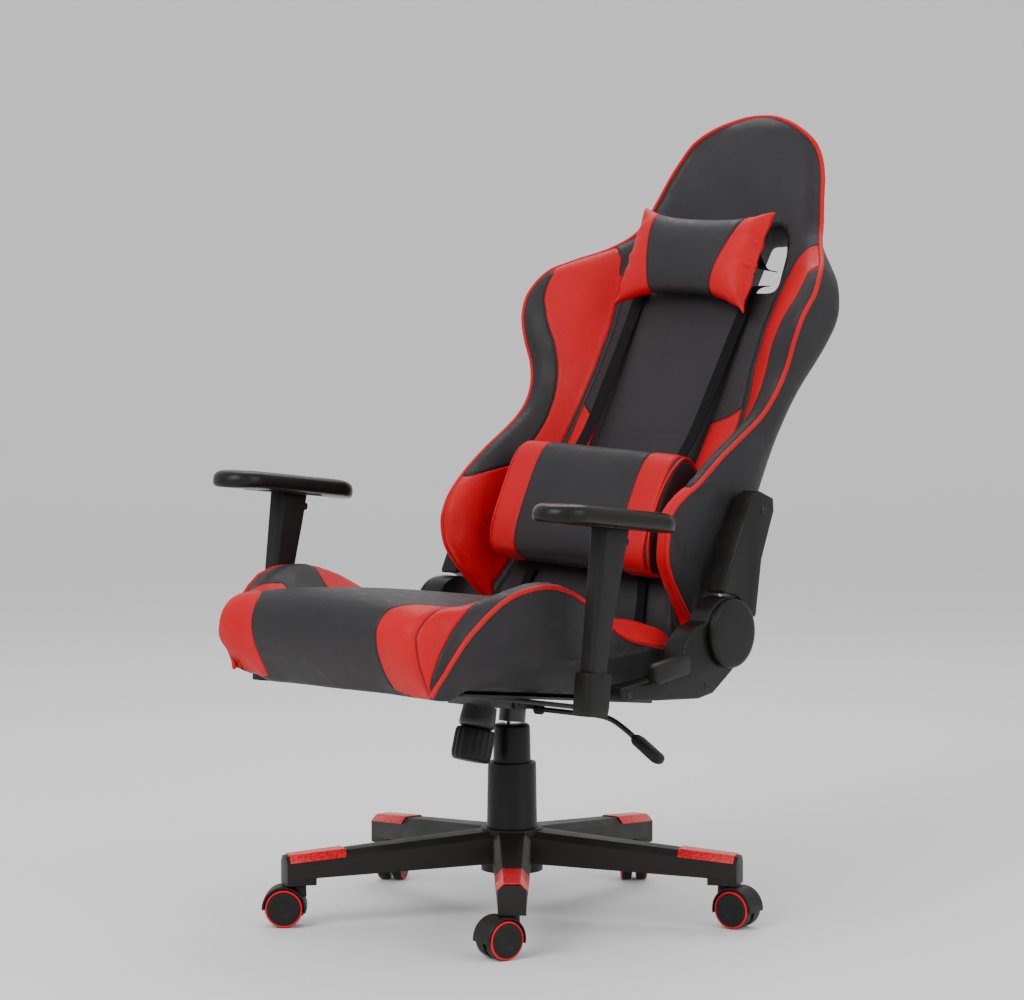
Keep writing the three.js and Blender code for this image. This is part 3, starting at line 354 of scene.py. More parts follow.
def inflated(thing, held, cap, pressure=4.0, frames=20, stiffness=15.0, bending=0.5):
    """Fills a closed skin like foam under a sewn cover. `held` is 1 where it is sewn down; cap is in mm."""
    before = coordinates(thing)
    group = thing.vertex_groups.new(name="sewn")
    for level in (0.25, 0.5, 0.75, 1.0):
        chosen = np.nonzero((held > level - 0.25) & (held <= level))[0]
        if len(chosen):
            group.add([int(v) for v in chosen], level, "REPLACE")
    cloth = thing.modifiers.new("cover", "CLOTH")
    settings = cloth.settings
    settings.quality = 4
    settings.mass = 0.4
    settings.tension_stiffness = stiffness
    settings.compression_stiffness = stiffness
    settings.shear_stiffness = 5
    settings.bending_stiffness = bending
    settings.use_pressure = True
    settings.uniform_pressure_force = pressure
    settings.vertex_group_mass = "sewn"
    settings.pin_stiffness = 2
    settings.effector_weights.gravity = 0
    cloth.point_cache.frame_start = 1
    cloth.point_cache.frame_end = frames
    scene = bpy.context.scene
    for step in range(1, frames + 1):
        scene.frame_set(step)
    applied(thing)
    thing.vertex_groups.clear()
    scene.frame_set(1)
    moved = coordinates(thing) - before
    length = np.linalg.norm(moved, axis=1)
    limit = cap * MM * (1 - 0.95 * held)
    moved *= (np.minimum(length, limit) / np.maximum(length, 1e-9))[:, None]
    set_coordinates(thing, before + moved)
    return thing


def subdivided(thing, levels=1):
    modifier = thing.modifiers.new("finer", "SUBSURF")
    modifier.levels = levels
    modifier.render_levels = levels
    return applied(thing)


def cut(thing, cutter):
    modifier = thing.modifiers.new("cut", "BOOLEAN")
    modifier.operation = "DIFFERENCE"
    modifier.solver = "EXACT"
    modifier.object = cutter
    applied(thing)
    bpy.data.objects.remove(cutter)
    return thing


def refined(node, bevel=1.5, angle=32):
    """A finer copy of a CAD node, with rounded edges, that stands for it."""
    source = NODES[node]
    thing = bpy.data.objects.new("fine_" + node, source.data.copy())
    bpy.context.scene.collection.objects.link(thing)
    thing.data.materials.clear()
    work = bmesh.new()
    work.from_mesh(thing.data)
    bmesh.ops.remove_doubles(work, verts=work.verts, dist=1e-6)
    bmesh.ops.dissolve_limit(work, angle_limit=math.radians(1.5), verts=work.verts, edges=work.edges)
    work.to_mesh(thing.data)
    work.free()
    if bevel:
        modifier = thing.modifiers.new("edge", "BEVEL")
        modifier.width = bevel * MM
        modifier.segments = 3
        modifier.limit_method = "ANGLE"
        modifier.angle_limit = math.radians(angle)
        modifier.use_clamp_overlap = True
        applied(thing)
    thing.data.shade_smooth()
    thing.data.set_sharp_from_angle(angle=math.radians(angle))
    return thing


def place_piece(thing, body, look, slot, *nodes):
    """Gives a piece its material, body and the CAD nodes it stands for. The slot argument is not used."""
    if look is not None:
        thing.data.materials.clear()
        thing.data.materials.append(look)
    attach(thing, body)
    if nodes:
        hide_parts(*nodes)
    return thing


# ---------------------------------------------------------------- materials
class Look:
    """A material being put together from shader nodes."""

    def __init__(self, name):
        self.material = bpy.data.materials.new(name)
        self.material.use_nodes = True
        self.tree = self.material.node_tree
        self.shader = self.tree.nodes["Principled BSDF"]
        self.spot = self.add("ShaderNodeTexCoord").outputs["Object"]

    def add(self, kind, **settings):
        node = self.tree.nodes.new(kind)
        for key, value in settings.items():
            setattr(node, key, value)
        return node

    def feed(self, socket, value):
        if isinstance(value, bpy.types.NodeSocket):
            self.tree.links.new(value, socket)
        else:
            socket.default_value = value

    def set(self, **inputs):
        for key, value in inputs.items():
            self.feed(self.shader.inputs[key.replace("_", " ")], value)

    def math(self, operation, first, second=0.0, clamp=False):
        node = self.add("ShaderNodeMath", operation=operation, use_clamp=clamp)
        self.feed(node.inputs[0], first)
        self.feed(node.inputs[1], second)
        return node.outputs[0]

    def mix(self, share, first, second):
        node = self.add("ShaderNodeMix", data_type="RGBA")
        self.feed(node.inputs["Factor"], share)
        self.feed(node.inputs["A"], first)
        self.feed(node.inputs["B"], second)
        return node.outputs["Result"]

    def band(self, value, low, high, to_low=0.0, to_high=1.0):
        node = self.add("ShaderNodeMapRange", interpolation_type="SMOOTHSTEP")
        for index, item in enumerate((value, low, high, to_low, to_high)):
            self.feed(node.inputs[index], item)
        return node.outputs[0]

    def noise(self, scale, detail=3.0, roughness=0.5, spot=None):
        node = self.add("ShaderNodeTexNoise")
        self.feed(node.inputs["Vector"], spot or self.spot)
        self.feed(node.inputs["Scale"], scale)
        self.feed(node.inputs["Detail"], detail)
        self.feed(node.inputs["Roughness"], roughness)
        return node.outputs["Fac"]

    def cells(self, scale, feature="F1", spot=None):
        node = self.add("ShaderNodeTexVoronoi", feature=feature)
        self.feed(node.inputs["Vector"], spot or self.spot)
        self.feed(node.inputs["Scale"], scale)
        return node.outputs["Distance"]

    def stretched(self, x, y, z):
        node = self.add("ShaderNodeMapping")
        self.feed(node.inputs["Vector"], self.spot)
        node.inputs["Scale"].default_value = (x, y, z)
        return node.outputs["Vector"]

    def attribute(self, name):
        return self.add("ShaderNodeAttribute", attribute_name=name).outputs["Fac"]

    def bump(self, height, depth, strength=1.0, under=None):
        node = self.add("ShaderNodeBump")
        self.feed(node.inputs["Strength"], strength)
        self.feed(node.inputs["Distance"], depth * MM)
        self.feed(node.inputs["Height"], height)
        if under is not None:
            self.feed(node.inputs["Normal"], under)
        return node.outputs["Normal"]

    def worn(self, radius=1.5):
        """Where an edge sticks out: 0 on the flat, 1 on the edge."""
        bevel = self.add("ShaderNodeBevel", samples=4)
        bevel.inputs["Radius"].default_value = radius * MM
        plain = self.add("ShaderNodeNewGeometry")
        dot = self.add("ShaderNodeVectorMath", operation="DOT_PRODUCT")
        self.feed(dot.inputs[0], bevel.outputs["Normal"])
        self.feed(dot.inputs[1], plain.outputs["Normal"])
        return self.band(dot.outputs["Value"], 0.995, 0.9)

    def rounded(self, radius=1.2):
        bevel = self.add("ShaderNodeBevel", samples=4)
        bevel.inputs["Radius"].default_value = radius * MM
        return bevel.outputs["Normal"]


CHARCOAL = (0.030, 0.029, 0.031, 1)
SCARLET = (0.66, 0.0, 0.008, 1)


def leather(name, tint=CHARCOAL, panels=False):
    """Coated synthetic leather: fine pebble grain, soft creases, seams where the attributes say."""
    look = Look(name)
    cloud = look.noise(14, 4)
    pores = look.cells(1150)
    fine = look.noise(2600, 2)
    black = look.mix(look.band(cloud, 0.3, 0.7), tuple(c * 0.86 for c in CHARCOAL[:3]) + (1,), CHARCOAL)
    red = look.mix(look.band(cloud, 0.3, 0.7), tuple(c * 0.9 for c in SCARLET[:3]) + (1,), SCARLET)
    crease = look.noise(1, 5, 0.55, look.stretched(38, 38, 38))
    height = look.math("ADD", look.math("MULTIPLY", pores, 0.7), look.math("MULTIPLY", fine, 0.3))
    soft = look.bump(crease, 2.2, 0.35)
    if panels:
        edge = look.attribute("panel")
        seam = look.attribute("seam")
        colour = look.mix(look.band(edge, -0.25, 0.25), black, red)
        near = look.math("MINIMUM", look.math("ABSOLUTE", edge), look.math("ABSOLUTE", seam))
        # Within about 1.5 mm of each seam and panel edge the colour turns almost black: painted shade in the
        # seam crevices.
        dark = look.band(near, 0.35, 1.5, 0.75, 0.0)
        colour = look.mix(dark, colour, (0.012, 0.008, 0.009, 1))
        roll = look.band(near, 0.0, 3.2)
        pucker = look.noise(1, 2, 0.5, look.stretched(150, 150, 150))
        pull = look.math("MULTIPLY", pucker, look.band(near, 1.0, 16.0, 1.0, 0.0))
        soft = look.bump(pull, 1.6, 0.5, soft)
        soft = look.bump(roll, 1.3, 0.9, soft)
    else:
        colour = red if tint == SCARLET else black
    rub = look.band(look.noise(60, 4), 0.45, 0.75)
    look.set(
        Base_Color=look.mix(look.math("MULTIPLY", pores, 0.25), colour, (0.02, 0.012, 0.012, 1)),
        Roughness=look.band(rub, 0.0, 1.0, 0.50, 0.40),
        Normal=look.bump(height, 0.16, 0.55, soft),
    )
    look.shader.inputs["Specular IOR Level"].default_value = 0.20
    return look.material


def moulded(name, tint, rough, grain=0.08, scale=1500, worn=0.35, soft_edge=1.2):
    """Injection-moulded plastic: spark-eroded grain, slight flow marks, edges rubbed a little brighter."""
    look = Look(name)
    flow = look.noise(22, 4, 0.6)
    speck = look.noise(scale, 2)
    edge = look.math("MULTIPLY", look.worn(), look.band(look.noise(180, 3), 0.35, 0.7, 0.3, 1.0))
    pale = tuple(c * 2.0 + 0.006 for c in tint[:3]) + (1,)
    colour = look.mix(look.band(flow, 0.3, 0.7, 0.0, 0.35), tint, tuple(c * 1.3 for c in tint[:3]) + (1,))
    look.set(
        Base_Color=look.mix(look.math("MULTIPLY", edge, worn), colour, pale),
        Roughness=look.band(flow, 0.25, 0.75, rough - 0.05, rough + 0.07),
        Normal=look.bump(speck, grain, 0.5, look.rounded(soft_edge)),
    )
    look.shader.inputs["Specular IOR Level"].default_value = 0.24
    return look.material


def coated_steel(name, tint=(0.016, 0.016, 0.017, 1), rough=0.38):
    """Powder-coated steel, chipped to bare metal at a few edges."""
    look = Look(name)
    peel = look.noise(420, 3)
    chips = look.math("MULTIPLY", look.worn(1.0), look.band(look.noise(140, 4), 0.56, 0.64))
    look.set(
        Base_Color=look.mix(chips, tint, (0.2, 0.19, 0.18, 1)),
        Metallic=look.math("MULTIPLY", chips, 0.9),
        Roughness=look.band(look.noise(30, 3), 0.3, 0.7, rough - 0.06, rough + 0.08),
        Normal=look.bump(peel, 0.12, 0.5, look.rounded(0.8)),
    )
    return look.material


def plated(name, rough=0.12):
    """Bright plating with fine lines drawn along it."""
    look = Look(name)
    lines = look.noise(1, 3, 0.6, look.stretched(900, 900, 40))
    look.set(
        Base_Color=look.mix(look.noise(40, 3), (0.60, 0.60, 0.61, 1), (0.70, 0.69, 0.68, 1)),
        Metallic=1.0,
        Roughness=look.band(lines, 0.3, 0.7, rough, rough + 0.14),
        Normal=look.bump(lines, 0.02, 0.4, look.rounded(0.5)),
    )
    return look.material


def embossed_red(name):
    """Red pads on the legs, with a pressed pattern of small scales."""
    look = Look(name)
    scales = look.cells(260)
    glint = look.noise(900, 2)
    look.set(
        # The colour is darker red in the dimples of the pressed scales and brighter red on their ridges: painted
        # shade and painted highlight on the relief.
        Base_Color=look.mix(look.band(scales, 0.2, 0.75), (0.52, 0.001, 0.008, 1), (0.80, 0.004, 0.016, 1)),
        Roughness=look.band(glint, 0.3, 0.7, 0.22, 0.42),
        Normal=look.bump(scales, 0.9, 0.8, look.rounded(1.0)),
    )
    look.shader.inputs["Coat Weight"].default_value = 0.3
    look.shader.inputs["Coat Roughness"].default_value = 0.15
    return look.material


def webbing(name, place, tint=(0.010, 0.010, 0.011, 1)):
    """Woven strap: ribs across the strap and a finer weave along it."""
    look = Look(name)
    up = look.add("ShaderNodeVectorMath", operation="DOT_PRODUCT")
    look.feed(up.inputs[0], look.spot)
    up.inputs[1].default_value = tuple(place[1][2])
    along = look.math("SINE", look.math("MULTIPLY", up.outputs["Value"], 3300.0))
    split = look.add("ShaderNodeSeparateXYZ")
    look.feed(split.inputs[0], look.spot)
    cross = look.math("SINE", look.math("MULTIPLY", split.outputs["X"], 2600.0))
    weave = look.math("MULTIPLY", along, cross)
    fuzz = look.noise(1600, 2)
    look.set(
        # The colour is paler where the weave stands up and darker in its dips: painted highlight and painted
        # shade on the weave.
        Base_Color=look.mix(look.band(weave, -1.0, 1.0), tint, tuple(c * 2.4 for c in tint[:3]) + (1,)),
        Roughness=look.band(fuzz, 0.3, 0.7, 0.72, 0.9),
        Normal=look.bump(look.math("ADD", weave, fuzz), 0.25, 0.6),
    )
    look.shader.inputs["Specular IOR Level"].default_value = 0.15
    return look.material


def thread(name, tint):
    """Twisted sewing thread."""
    look = Look(name)
    twist = look.noise(1, 2, 0.5, look.stretched(2600, 2600, 2600))
    look.set(
        Base_Color=look.mix(twist, tint, tuple(c * 0.6 for c in tint[:3]) + (1,)),
        Roughness=look.band(twist, 0.3, 0.7, 0.55, 0.7),
        Normal=look.bump(twist, 0.1, 0.5),
    )
    return look.material


RED_LEATHER = leather("red_leather", SCARLET)
PANEL_LEATHER = leather("panelled_leather", panels=True)
NYLON = moulded("moulded_nylon", (0.013, 0.012, 0.011, 1), 0.46, grain=0.12, scale=900)
PLASTIC = moulded("moulded_plastic", (0.011, 0.010, 0.0095, 1), 0.44)
COVER_PLASTIC = moulded("cover_plastic", (0.008, 0.0075, 0.007, 1), 0.36, grain=0.05)
PAD_SKIN = moulded(
    "arm_pad_skin", (0.008, 0.007, 0.006, 1), 0.30, grain=0.10, scale=700, worn=0.15, soft_edge=3.0,
)
WHEEL = moulded("caster_plastic", (0.010, 0.0095, 0.009, 1), 0.42, grain=0.05)
RED_TRIM = moulded("red_trim", (0.66, 0.002, 0.010, 1), 0.42, grain=0.04, worn=0.1)
RED_PAD = embossed_red("red_leg_pad")
STEEL = coated_steel("coated_steel")
CHROME = plated("chrome")
STRAP = webbing("strap_webbing", BACK, (0.0035, 0.0035, 0.004, 1))
LINING = moulded("slot_lining", (0.014, 0.014, 0.015, 1), 0.6, grain=0.2, scale=500)
DARK_THREAD = thread("dark_thread", (0.035, 0.034, 0.036, 1))
RED_THREAD = thread("red_thread", (0.55, 0.02, 0.03, 1))


# ---------------------------------------------------------------- sewing
def on_surface(thing, points, reach=0.03):
    """Each point's nearest place on a piece's skin, and the skin's direction there."""
    tree = BVHTree.FromObject(thing, bpy.context.evaluated_depsgraph_get())
    found = []
    for point in points:
        spot, normal, _, _ = tree.find_nearest(Vector(point), reach)
        if spot is not None:
            found.append((spot, normal))
    return found


def stitches(name, thing, path, look, body, slot, pitch=5.0, length=3.4, radius=0.42):
    """A row of stitches lying on a piece's skin along a path."""
    path = np.asarray(path, float)
    run = np.linalg.norm(np.diff(path, axis=0), axis=1).sum()
    spots = on_surface(thing, smooth_path(path, max(int(run / (pitch * MM)), 4)))
    vertices, faces = [], []
    for (here, normal), (there, _) in zip(spots, spots[1:]):
        along = (there - here).normalized()
        across = normal.cross(along).normalized()
        start = len(vertices)
        for share, high, wide in ((-0.5, -0.3, 0.5), (-0.3, 0.55, 1.0), (0.3, 0.55, 1.0), (0.5, -0.3, 0.5)):
            middle = here + along * share * length * MM + normal * high * radius * MM
            for k in range(6):
                angle = k * math.pi / 3
                ring = across * math.cos(angle) + normal * math.sin(angle)
                vertices.append(middle + ring * radius * wide * MM)
        for row in range(3):
            for k in range(6):
                a = start + row * 6
                n = (k + 1) % 6
                faces.append((a + k, a + n, a + 6 + n, a + 6 + k))
        faces.append(tuple(start + k for k in range(6)))
        faces.append(tuple(start + 18 + k for k in range(6)))
    return place_piece(new_object(name, vertices, faces), body, look, slot)


def laid(thing, path, lift=0.8, closed=False):
    """A path moved onto a piece's skin and smoothed, `lift` mm above it."""
    path = np.asarray(path, float)
    tree = BVHTree.FromObject(thing, bpy.context.evaluated_depsgraph_get())
    shifts = np.array([np.array(tree.find_nearest(Vector(point))[0]) for point in path]) - path
    for _ in range(6):
        if closed:
            around = np.roll(shifts, 1, 0) + np.roll(shifts, -1, 0)
            shifts = shifts * 0.5 + around * 0.25
        else:
            shifts[1:-1] = shifts[1:-1] * 0.5 + (shifts[:-2] + shifts[2:]) * 0.25
    moved = path + shifts
    outward = [np.array(tree.find_nearest(Vector(point))[1]) for point in moved]
    return moved + np.array(outward) * lift * MM


def welted(thing, near, depth=1.6, width=3.0):
    """Pulls the skin in along a seam; `near` is the distance to it in mm."""
    normals = vertex_normals(thing)
    pull = depth * np.exp(-((near / width) ** 2))
    set_coordinates(thing, coordinates(thing) - normals * pull[:, None] * MM)


# ---------------------------------------------------------------- backrest
# the piping's line on one side, from the middle of the top down to the seat: across, forward, up
BACK_PIPING = [
    (0, -44, 902), (30, -42, 898), (57, -40, 889), (87, -37, 875), (115, -38, 857), (131, -42, 842),
    (145, -46, 820), (157, -48, 791), (169, -50, 748), (184, -50, 703), (198, -40, 676), (217, -24, 650),
    (250, 6, 615), (276, 30, 582), (289, 43, 535), (283, 46, 495), (271, 34, 457), (259, 18, 426),
    (249, 11, 390), (242, 18, 345), (239, 39, 305), (238, 75, 247), (237, 103, 194), (230, 122, 158),
    (227, 131, 127), (228, 124, 97), (223, 105, 67), (216, 72, 47), (209, 27, 30), (205, -6, 18),
]
# height, groove across, groove depth, middle depth, rear edge depth, rear depth
BACK_STATIONS = np.array([
    (-22, 160, -8, -4, -50, -64),
    (18, 166, 4, 9, -50, -68),
    (60, 169, 6, 11, -50, -70),
    (110, 171, 2, 7, -50, -71),
    (160, 172, -6, 0, -50, -71),
    (220, 171, -14, -8, -50, -71),
    (290, 170, -22, -16, -50, -72),
    (380, 168, -28, -22, -50, -72),
    (460, 158, -28, -22, -48, -72),
    (530, 156, -29, -24, -46, -76),
    (590, 160, -31, -27, -42, -73),
    (650, 160, -37, -31, -56, -78),
    (705, 148, -39, -33, -72, -87),
    (790, 116, -37, -31, -76, -90),
    (845, 88, -37, -31, -70, -86),
    (880, 50, -38, -33, -58, -68),
    (902, 10, -44, -43, -50, -54),
], float)
BACK_OUTWARD = (1.6, -1.0, 0.0)  # from the piping towards the side panel
# the shoulder slot at its mouth and where it leaves the rear: across and up
SLOT_OUTLINE = [(80, 576), (149, 576), (144, 650), (130, 686), (114, 701), (88, 693)]
SLOT_REAR_OUTLINE = [(52, 582), (138, 582), (130, 640), (116, 680), (100, 690), (62, 688)]
SLOT_MOUTH, SLOT_BACK = -36, -90


def back_row(across, forward, up):
    """One closed section of the back, through the piping on both sides."""
    groove_x, groove_n, middle, side_n, rear = (
        float(hermite(BACK_STATIONS[:, 0], BACK_STATIONS[:, k], np.array([up]))[0]) for k in range(1, 6)
    )
    groove_x = min(groove_x, across * 0.8)
    rise = max(forward - groove_n, 0)
    front = [
        (0, middle),
        (groove_x * 0.55, middle - 0.8),
        (groove_x * 0.9, middle * 0.4 + groove_n * 0.6),
        (groove_x, groove_n),
        (groove_x + (across - groove_x) * 0.35, groove_n + rise * 0.55),
        (across - min(20, across * 0.3), forward - rise * 0.02 + min(5, rise * 0.1)),
        (across, forward),
    ]
    drop = min(forward - 8, side_n + 16)
    rear_side = [
        (across, forward), (across + 1, (forward + drop) / 2), (across - 3, drop), (across - 20, side_n),
    ]
    rear_line = [(across - 20, side_n), (across * 0.5, rear * 0.75 + side_n * 0.25), (0, rear)]
    half = np.concatenate(
        (smooth_path(front, 42), smooth_path(rear_side, 26)[1:], smooth_path(rear_line, 24)[1:])
    )
    other = half[-2:0:-1] * (-1, 1)
    ring = np.concatenate((half, other))
    return np.column_stack((ring[:, 0], ring[:, 1], np.full(len(ring), up)))


def back_piping_path(count=400):
    return smooth_path(mirrored(BACK_PIPING), count)


def back_shape():
    edge = smooth_path(BACK_PIPING, 180)[::-1]
    rows = [back_row(198 + k * 2, -26 + k * 5, -22 + k * 10) for k in range(4)]
    rows += [back_row(max(x, 3), n, w) for x, n, w in edge]
    return lofted("backrest_cover", to_world(np.array(rows), BACK))


def slot_ring(side, depth, grow=0.0):
    """The slot's outline at one depth; it narrows from its mouth to the rear."""
    share = min(max((SLOT_MOUTH - depth) / (SLOT_MOUTH - SLOT_BACK), 0), 1)
    corners = np.array(SLOT_OUTLINE, float) * (1 - share) + np.array(SLOT_REAR_OUTLINE, float) * share
    line = smooth_loop(corners * (side, 1), 10)
    outward = line - line.mean(axis=0)
    line = line + outward / np.linalg.norm(outward, axis=1)[:, None] * grow
    return np.column_stack((line[:, 0], np.full(len(line), depth), line[:, 1]))


def slot_prism(side):
    rings = [slot_ring(side, depth) for depth in (-160, SLOT_BACK, SLOT_MOUTH, 60)]
    return lofted("slot_cutter", to_world(np.array(rings), BACK))


def smooth_loop(corners, radius, steps=6):
    """A closed outline with each corner rounded."""
    corners = np.asarray(corners, float)
    points = []
    for before, here, after in zip(np.roll(corners, 1, axis=0), corners, np.roll(corners, -1, axis=0)):
        into, out = before - here, after - here
        into_length, out_length = np.linalg.norm(into), np.linalg.norm(out)
        start = here + into / into_length * min(radius, into_length * 0.45)
        end = here + out / out_length * min(radius, out_length * 0.45)
        for k in range(steps + 1):
            t = k / steps
            points.append((1 - t) ** 2 * start + 2 * t * (1 - t) * here + t * t * end)
    return np.array(points)


# the black band inside the piping, the red panels' inner edge and their upper edge
BAND_WIDTH = (
    (240, 54), (300, 50), (350, 46), (400, 46), (463, 50), (510, 43), (541, 33), (575, 21), (592, 2),
)
INNER_LINE = (
    (-30, 196), (10, 186), (30, 180), (60, 174), (90, 171), (160, 171), (240, 172), (290, 172), (350, 170),
    (404, 165), (440, 160), (509, 157), (571, 161), (640, 170), (700, 176),
)
SHOULDER_ARC = ((150, 596), (172, 606), (180, 636), (194, 652), (214, 662), (260, 664))


def back_panels(points):
    """Signed distances, in mm, to the red panels' edges and to the plain seams of the back."""
    x, n, w = np.abs(points[:, 0]), points[:, 1], points[:, 2]
    away = away_from(np.column_stack((x, n, w)), smooth_path(BACK_PIPING, 300))
    from_piping = np.linalg.norm(away, axis=1)
    groove = BACK_STATIONS
    rear = hermite(groove[:, 0], groove[:, 2] * 0.5 + groove[:, 5] * 0.5, w)
    inner = np.interp(w, *zip(*INNER_LINE))
    band = np.interp(w, *zip(*BAND_WIDTH))
    shoulder = np.interp(x, *zip(*SHOULDER_ARC))
    split = 262 - 0.77 * n
    wing = np.minimum.reduce([x - inner, from_piping - band, shoulder - w, w - split + 6])
    bolster = np.minimum.reduce([x - inner, split + 6 - w, w - 2])
    patch = inside(x, w, ((112, 345), (140, 358), (161, 376), (163, 316), (176, 150), (112, 150)))
    front = np.minimum(n - rear, 30)
    red = np.maximum.reduce([np.minimum(wing, front), np.minimum(bolster, front), np.minimum(patch, front)])
    rear_side = hermite(groove[:, 0], groove[:, 4], w)
    behind = (away @ BACK_OUTWARD > 0) | (n < rear_side + 8)
    red = np.where(behind, -from_piping - 0.3, red)
    seam = np.where(w < 600, x - inner + 8, 60)
    seam = np.where((n < rear) | behind, 60, seam)
    return red, seam


def make_backrest():
    skin = back_shape()
    for _, side in SIDES:
        cut(skin, slot_prism(side))
    remeshed(skin, 6.0, 3)
    spots = to_local(coordinates(skin), BACK)
    red, seam = back_panels(spots)
    piping = smooth_path(mirrored(BACK_PIPING), 500)
    from_piping = distance_to(spots, piping)
    depth = ramp(-spots[:, 1], -SLOT_MOUTH, -SLOT_BACK)
    x, w = np.abs(spots[:, 0]), spots[:, 2]
    near_slot = np.abs(inside(x, w, SLOT_OUTLINE) * (1 - depth) + inside(x, w, SLOT_REAR_OUTLINE) * depth)
    held = np.maximum.reduce([
        1 - ramp(from_piping, 4, 12),
        1 - ramp(near_slot, 5, 14),
        (1 - ramp(np.minimum(np.abs(red), np.abs(seam)), 3, 9)) * 0.9,
        1 - ramp(spots[:, 2], -10, 25),
        1 - ramp(spots[:, 1] - (-60), -4, 12),
    ])
    inflated(skin, held, 9, pressure=4.0)
    subdivided(skin)
    spots = to_local(coordinates(skin), BACK)
    red, seam = back_panels(spots)
    welted(skin, np.minimum(np.abs(red), np.abs(seam)), 1.3, 2.6)
    attribute(skin, "panel", red)
    attribute(skin, "seam", seam)
    place_piece(skin, "back", PANEL_LEATHER, "leather_black", "backrest")
    return skin


def make_back_piping(skin):
    path = laid(skin, to_world(back_piping_path(), BACK))
    cord = tube("back_piping", path, 3.6 * MM, up=(1, 0, 0))
    place_piece(cord, "back", RED_LEATHER, "leather_red")
    for label, side in SIDES:
        line = smooth_path(BACK_PIPING[10:26], 160) * (side, 1, 1) - (side * 7, 5, 0)
        stitches(f"back_stitching_{label}", skin, to_world(line, BACK), DARK_THREAD, "back", "leather_black")


# ---------------------------------------------------------------- seat cushion
# guide lines from the front's lower edge over the nose and the top to the rear's lower edge:
# three stretches each, front, top and rear, as (across, rearward, up) in the seat's frame
SEAT_GUIDES = {
    0.0: (
        [(0, -374, -2), (0, -402, 28), (0, -423, 62), (0, -428, 92), (0, -412, 119), (0, -384, 132)],
        [(0, -340, 136), (0, -240, 138), (0, -100, 138), (0, 0, 134), (0, 104, 122)],
        [(0, 109, 90), (0, 108, 40), (0, 104, 12)],
    ),
    0.48: (
        [(125, -376, -2), (125, -403, 28), (125, -423, 62), (125, -427, 90), (127, -412, 115), (129, -384, 128)],
        [(131, -340, 133), (131, -240, 136), (131, -100, 136), (131, 0, 132), (129, 104, 120)],
        [(129, 109, 90), (129, 108, 40), (129, 104, 12)],
    ),
    0.72: (
        [(204, -395, -2), (201, -412, 28), (197, -422, 62), (195, -422, 88), (196, -406, 109), (196, -380, 121)],
        [(190, -340, 126), (183, -240, 127), (179, -100, 125), (178, 0, 123), (172, 104, 111)],
        [(172, 108, 80), (172, 107, 40), (170, 104, 12)],
    ),
    0.88: (
        [(211, -399, -3), (213, -400, 24), (215, -391, 56), (217, -376, 82), (220, -360, 102), (224, -342, 120)],
        [(228, -312, 143), (236, -240, 168), (234, -160, 161), (226, -70, 128), (214, 30, 112), (203, 104, 104)],
        [(203, 107, 70), (203, 107, 40), (201, 104, 12)],
    ),
    1.0: (
        [(215, -411, -3), (222, -392, 28), (228, -381, 52), (235, -364, 82), (242, -346, 106), (248, -319, 132)],
        [(254, -297, 148), (259, -262, 160), (260, -230, 164), (259, -185, 158), (252, -120, 136),
         (243, -40, 100), (234, 40, 90), (226, 104, 84)],
        [(225, 107, 66), (224, 107, 40), (222, 104, 12)],
    ),
}
SEAT_STRETCHES = (34, 90, 18)
UNDERSIDE = 13
UNDERSIDE_LINE = (
    (94, 13), (0, 13), (-100, 13), (-200, 13), (-300, 13), (-332, 12), (-347, 7), (-357, 0), (-366, -4),
)
SEAT_OUTWARD = (0.9, 0.6, -1.0)  # from the piping towards the side panel


def seat_guide(stretches):
    """One guide line sampled so that its front, top and rear line up with its neighbours'."""
    front, top, rear = stretches
    whole = smooth_path(front + top + rear, 900)
    ends = [int(np.argmin(np.linalg.norm(whole - np.array(point), axis=1))) for point in (front[-1], top[-1])]
    marks = [0, ends[0], ends[1], len(whole) - 1]
    parts = []
    for low, high, count in zip(marks, marks[1:], SEAT_STRETCHES):
        picks = np.linspace(low, high, count, endpoint=False)
        steps = np.arange(len(whole))
        parts.append(np.stack([np.interp(picks, steps, whole[:, i]) for i in range(3)], 1))
    width = whole[-1, 0]
    under = [(width, y, z) for y, z in UNDERSIDE_LINE]
    return np.concatenate(parts + [whole[-1:], np.array(under, float)])


def seat_shape():
    shares = sorted(SEAT_GUIDES)
    lines = [seat_guide(SEAT_GUIDES[share]) for share in shares]
    knots = np.array([-share for share in shares[:0:-1]] + shares)
    guides = np.array([line * (-1, 1, 1) for line in lines[:0:-1]] + lines)
    flat = guides.reshape(len(knots), -1)
    rings = [hermite(knots, flat, np.array([t])).reshape(-1, 3) for t in np.linspace(-1, 1, 97)]
    ends = []
    for ring, side in ((rings[-1], 1), (rings[0], -1)):
        middle = np.array([side * 236, -150, 60])
        ends.append([middle + (ring - middle) * (1, share, share) + (side * 3 * (1 - share), 0, 0)
                     for share in (0.94, 0.75, 0.5, 0.25, 0.05)])
    rings = ends[1][::-1] + rings + ends[0]
    return lofted("seat_cover", to_world(np.array(rings), SEAT))


# distance along the cover from the front's lower edge, and the half width of each panel edge there
NOSE = (-383, 82, 46)
CORNER_TUCK = 32
CENTRE_EDGE = (
    (0, 126), (24, 122), (66, 123), (85, 123), (105, 125), (125, 130), (145, 144), (165, 163), (187, 175),
    (215, 177), (300, 173), (420, 170), (650, 168),
)
SEAM_EDGE = (
    (0, 205), (24, 202), (48, 198), (80, 195), (110, 196), (140, 196), (180, 190), (240, 185), (320, 181),
    (420, 179), (650, 176),
)
# width of the black strip inside the piping, by how far rearward it is
STRIP_WIDTH = (
    (-412, 0), (-405, 7), (-392, 15), (-381, 20), (-364, 24), (-346, 28), (-330, 32), (-318, 40),
    (-307, 52), (-298, 75), (-292, 110),
)
REAR_RED_START = -207


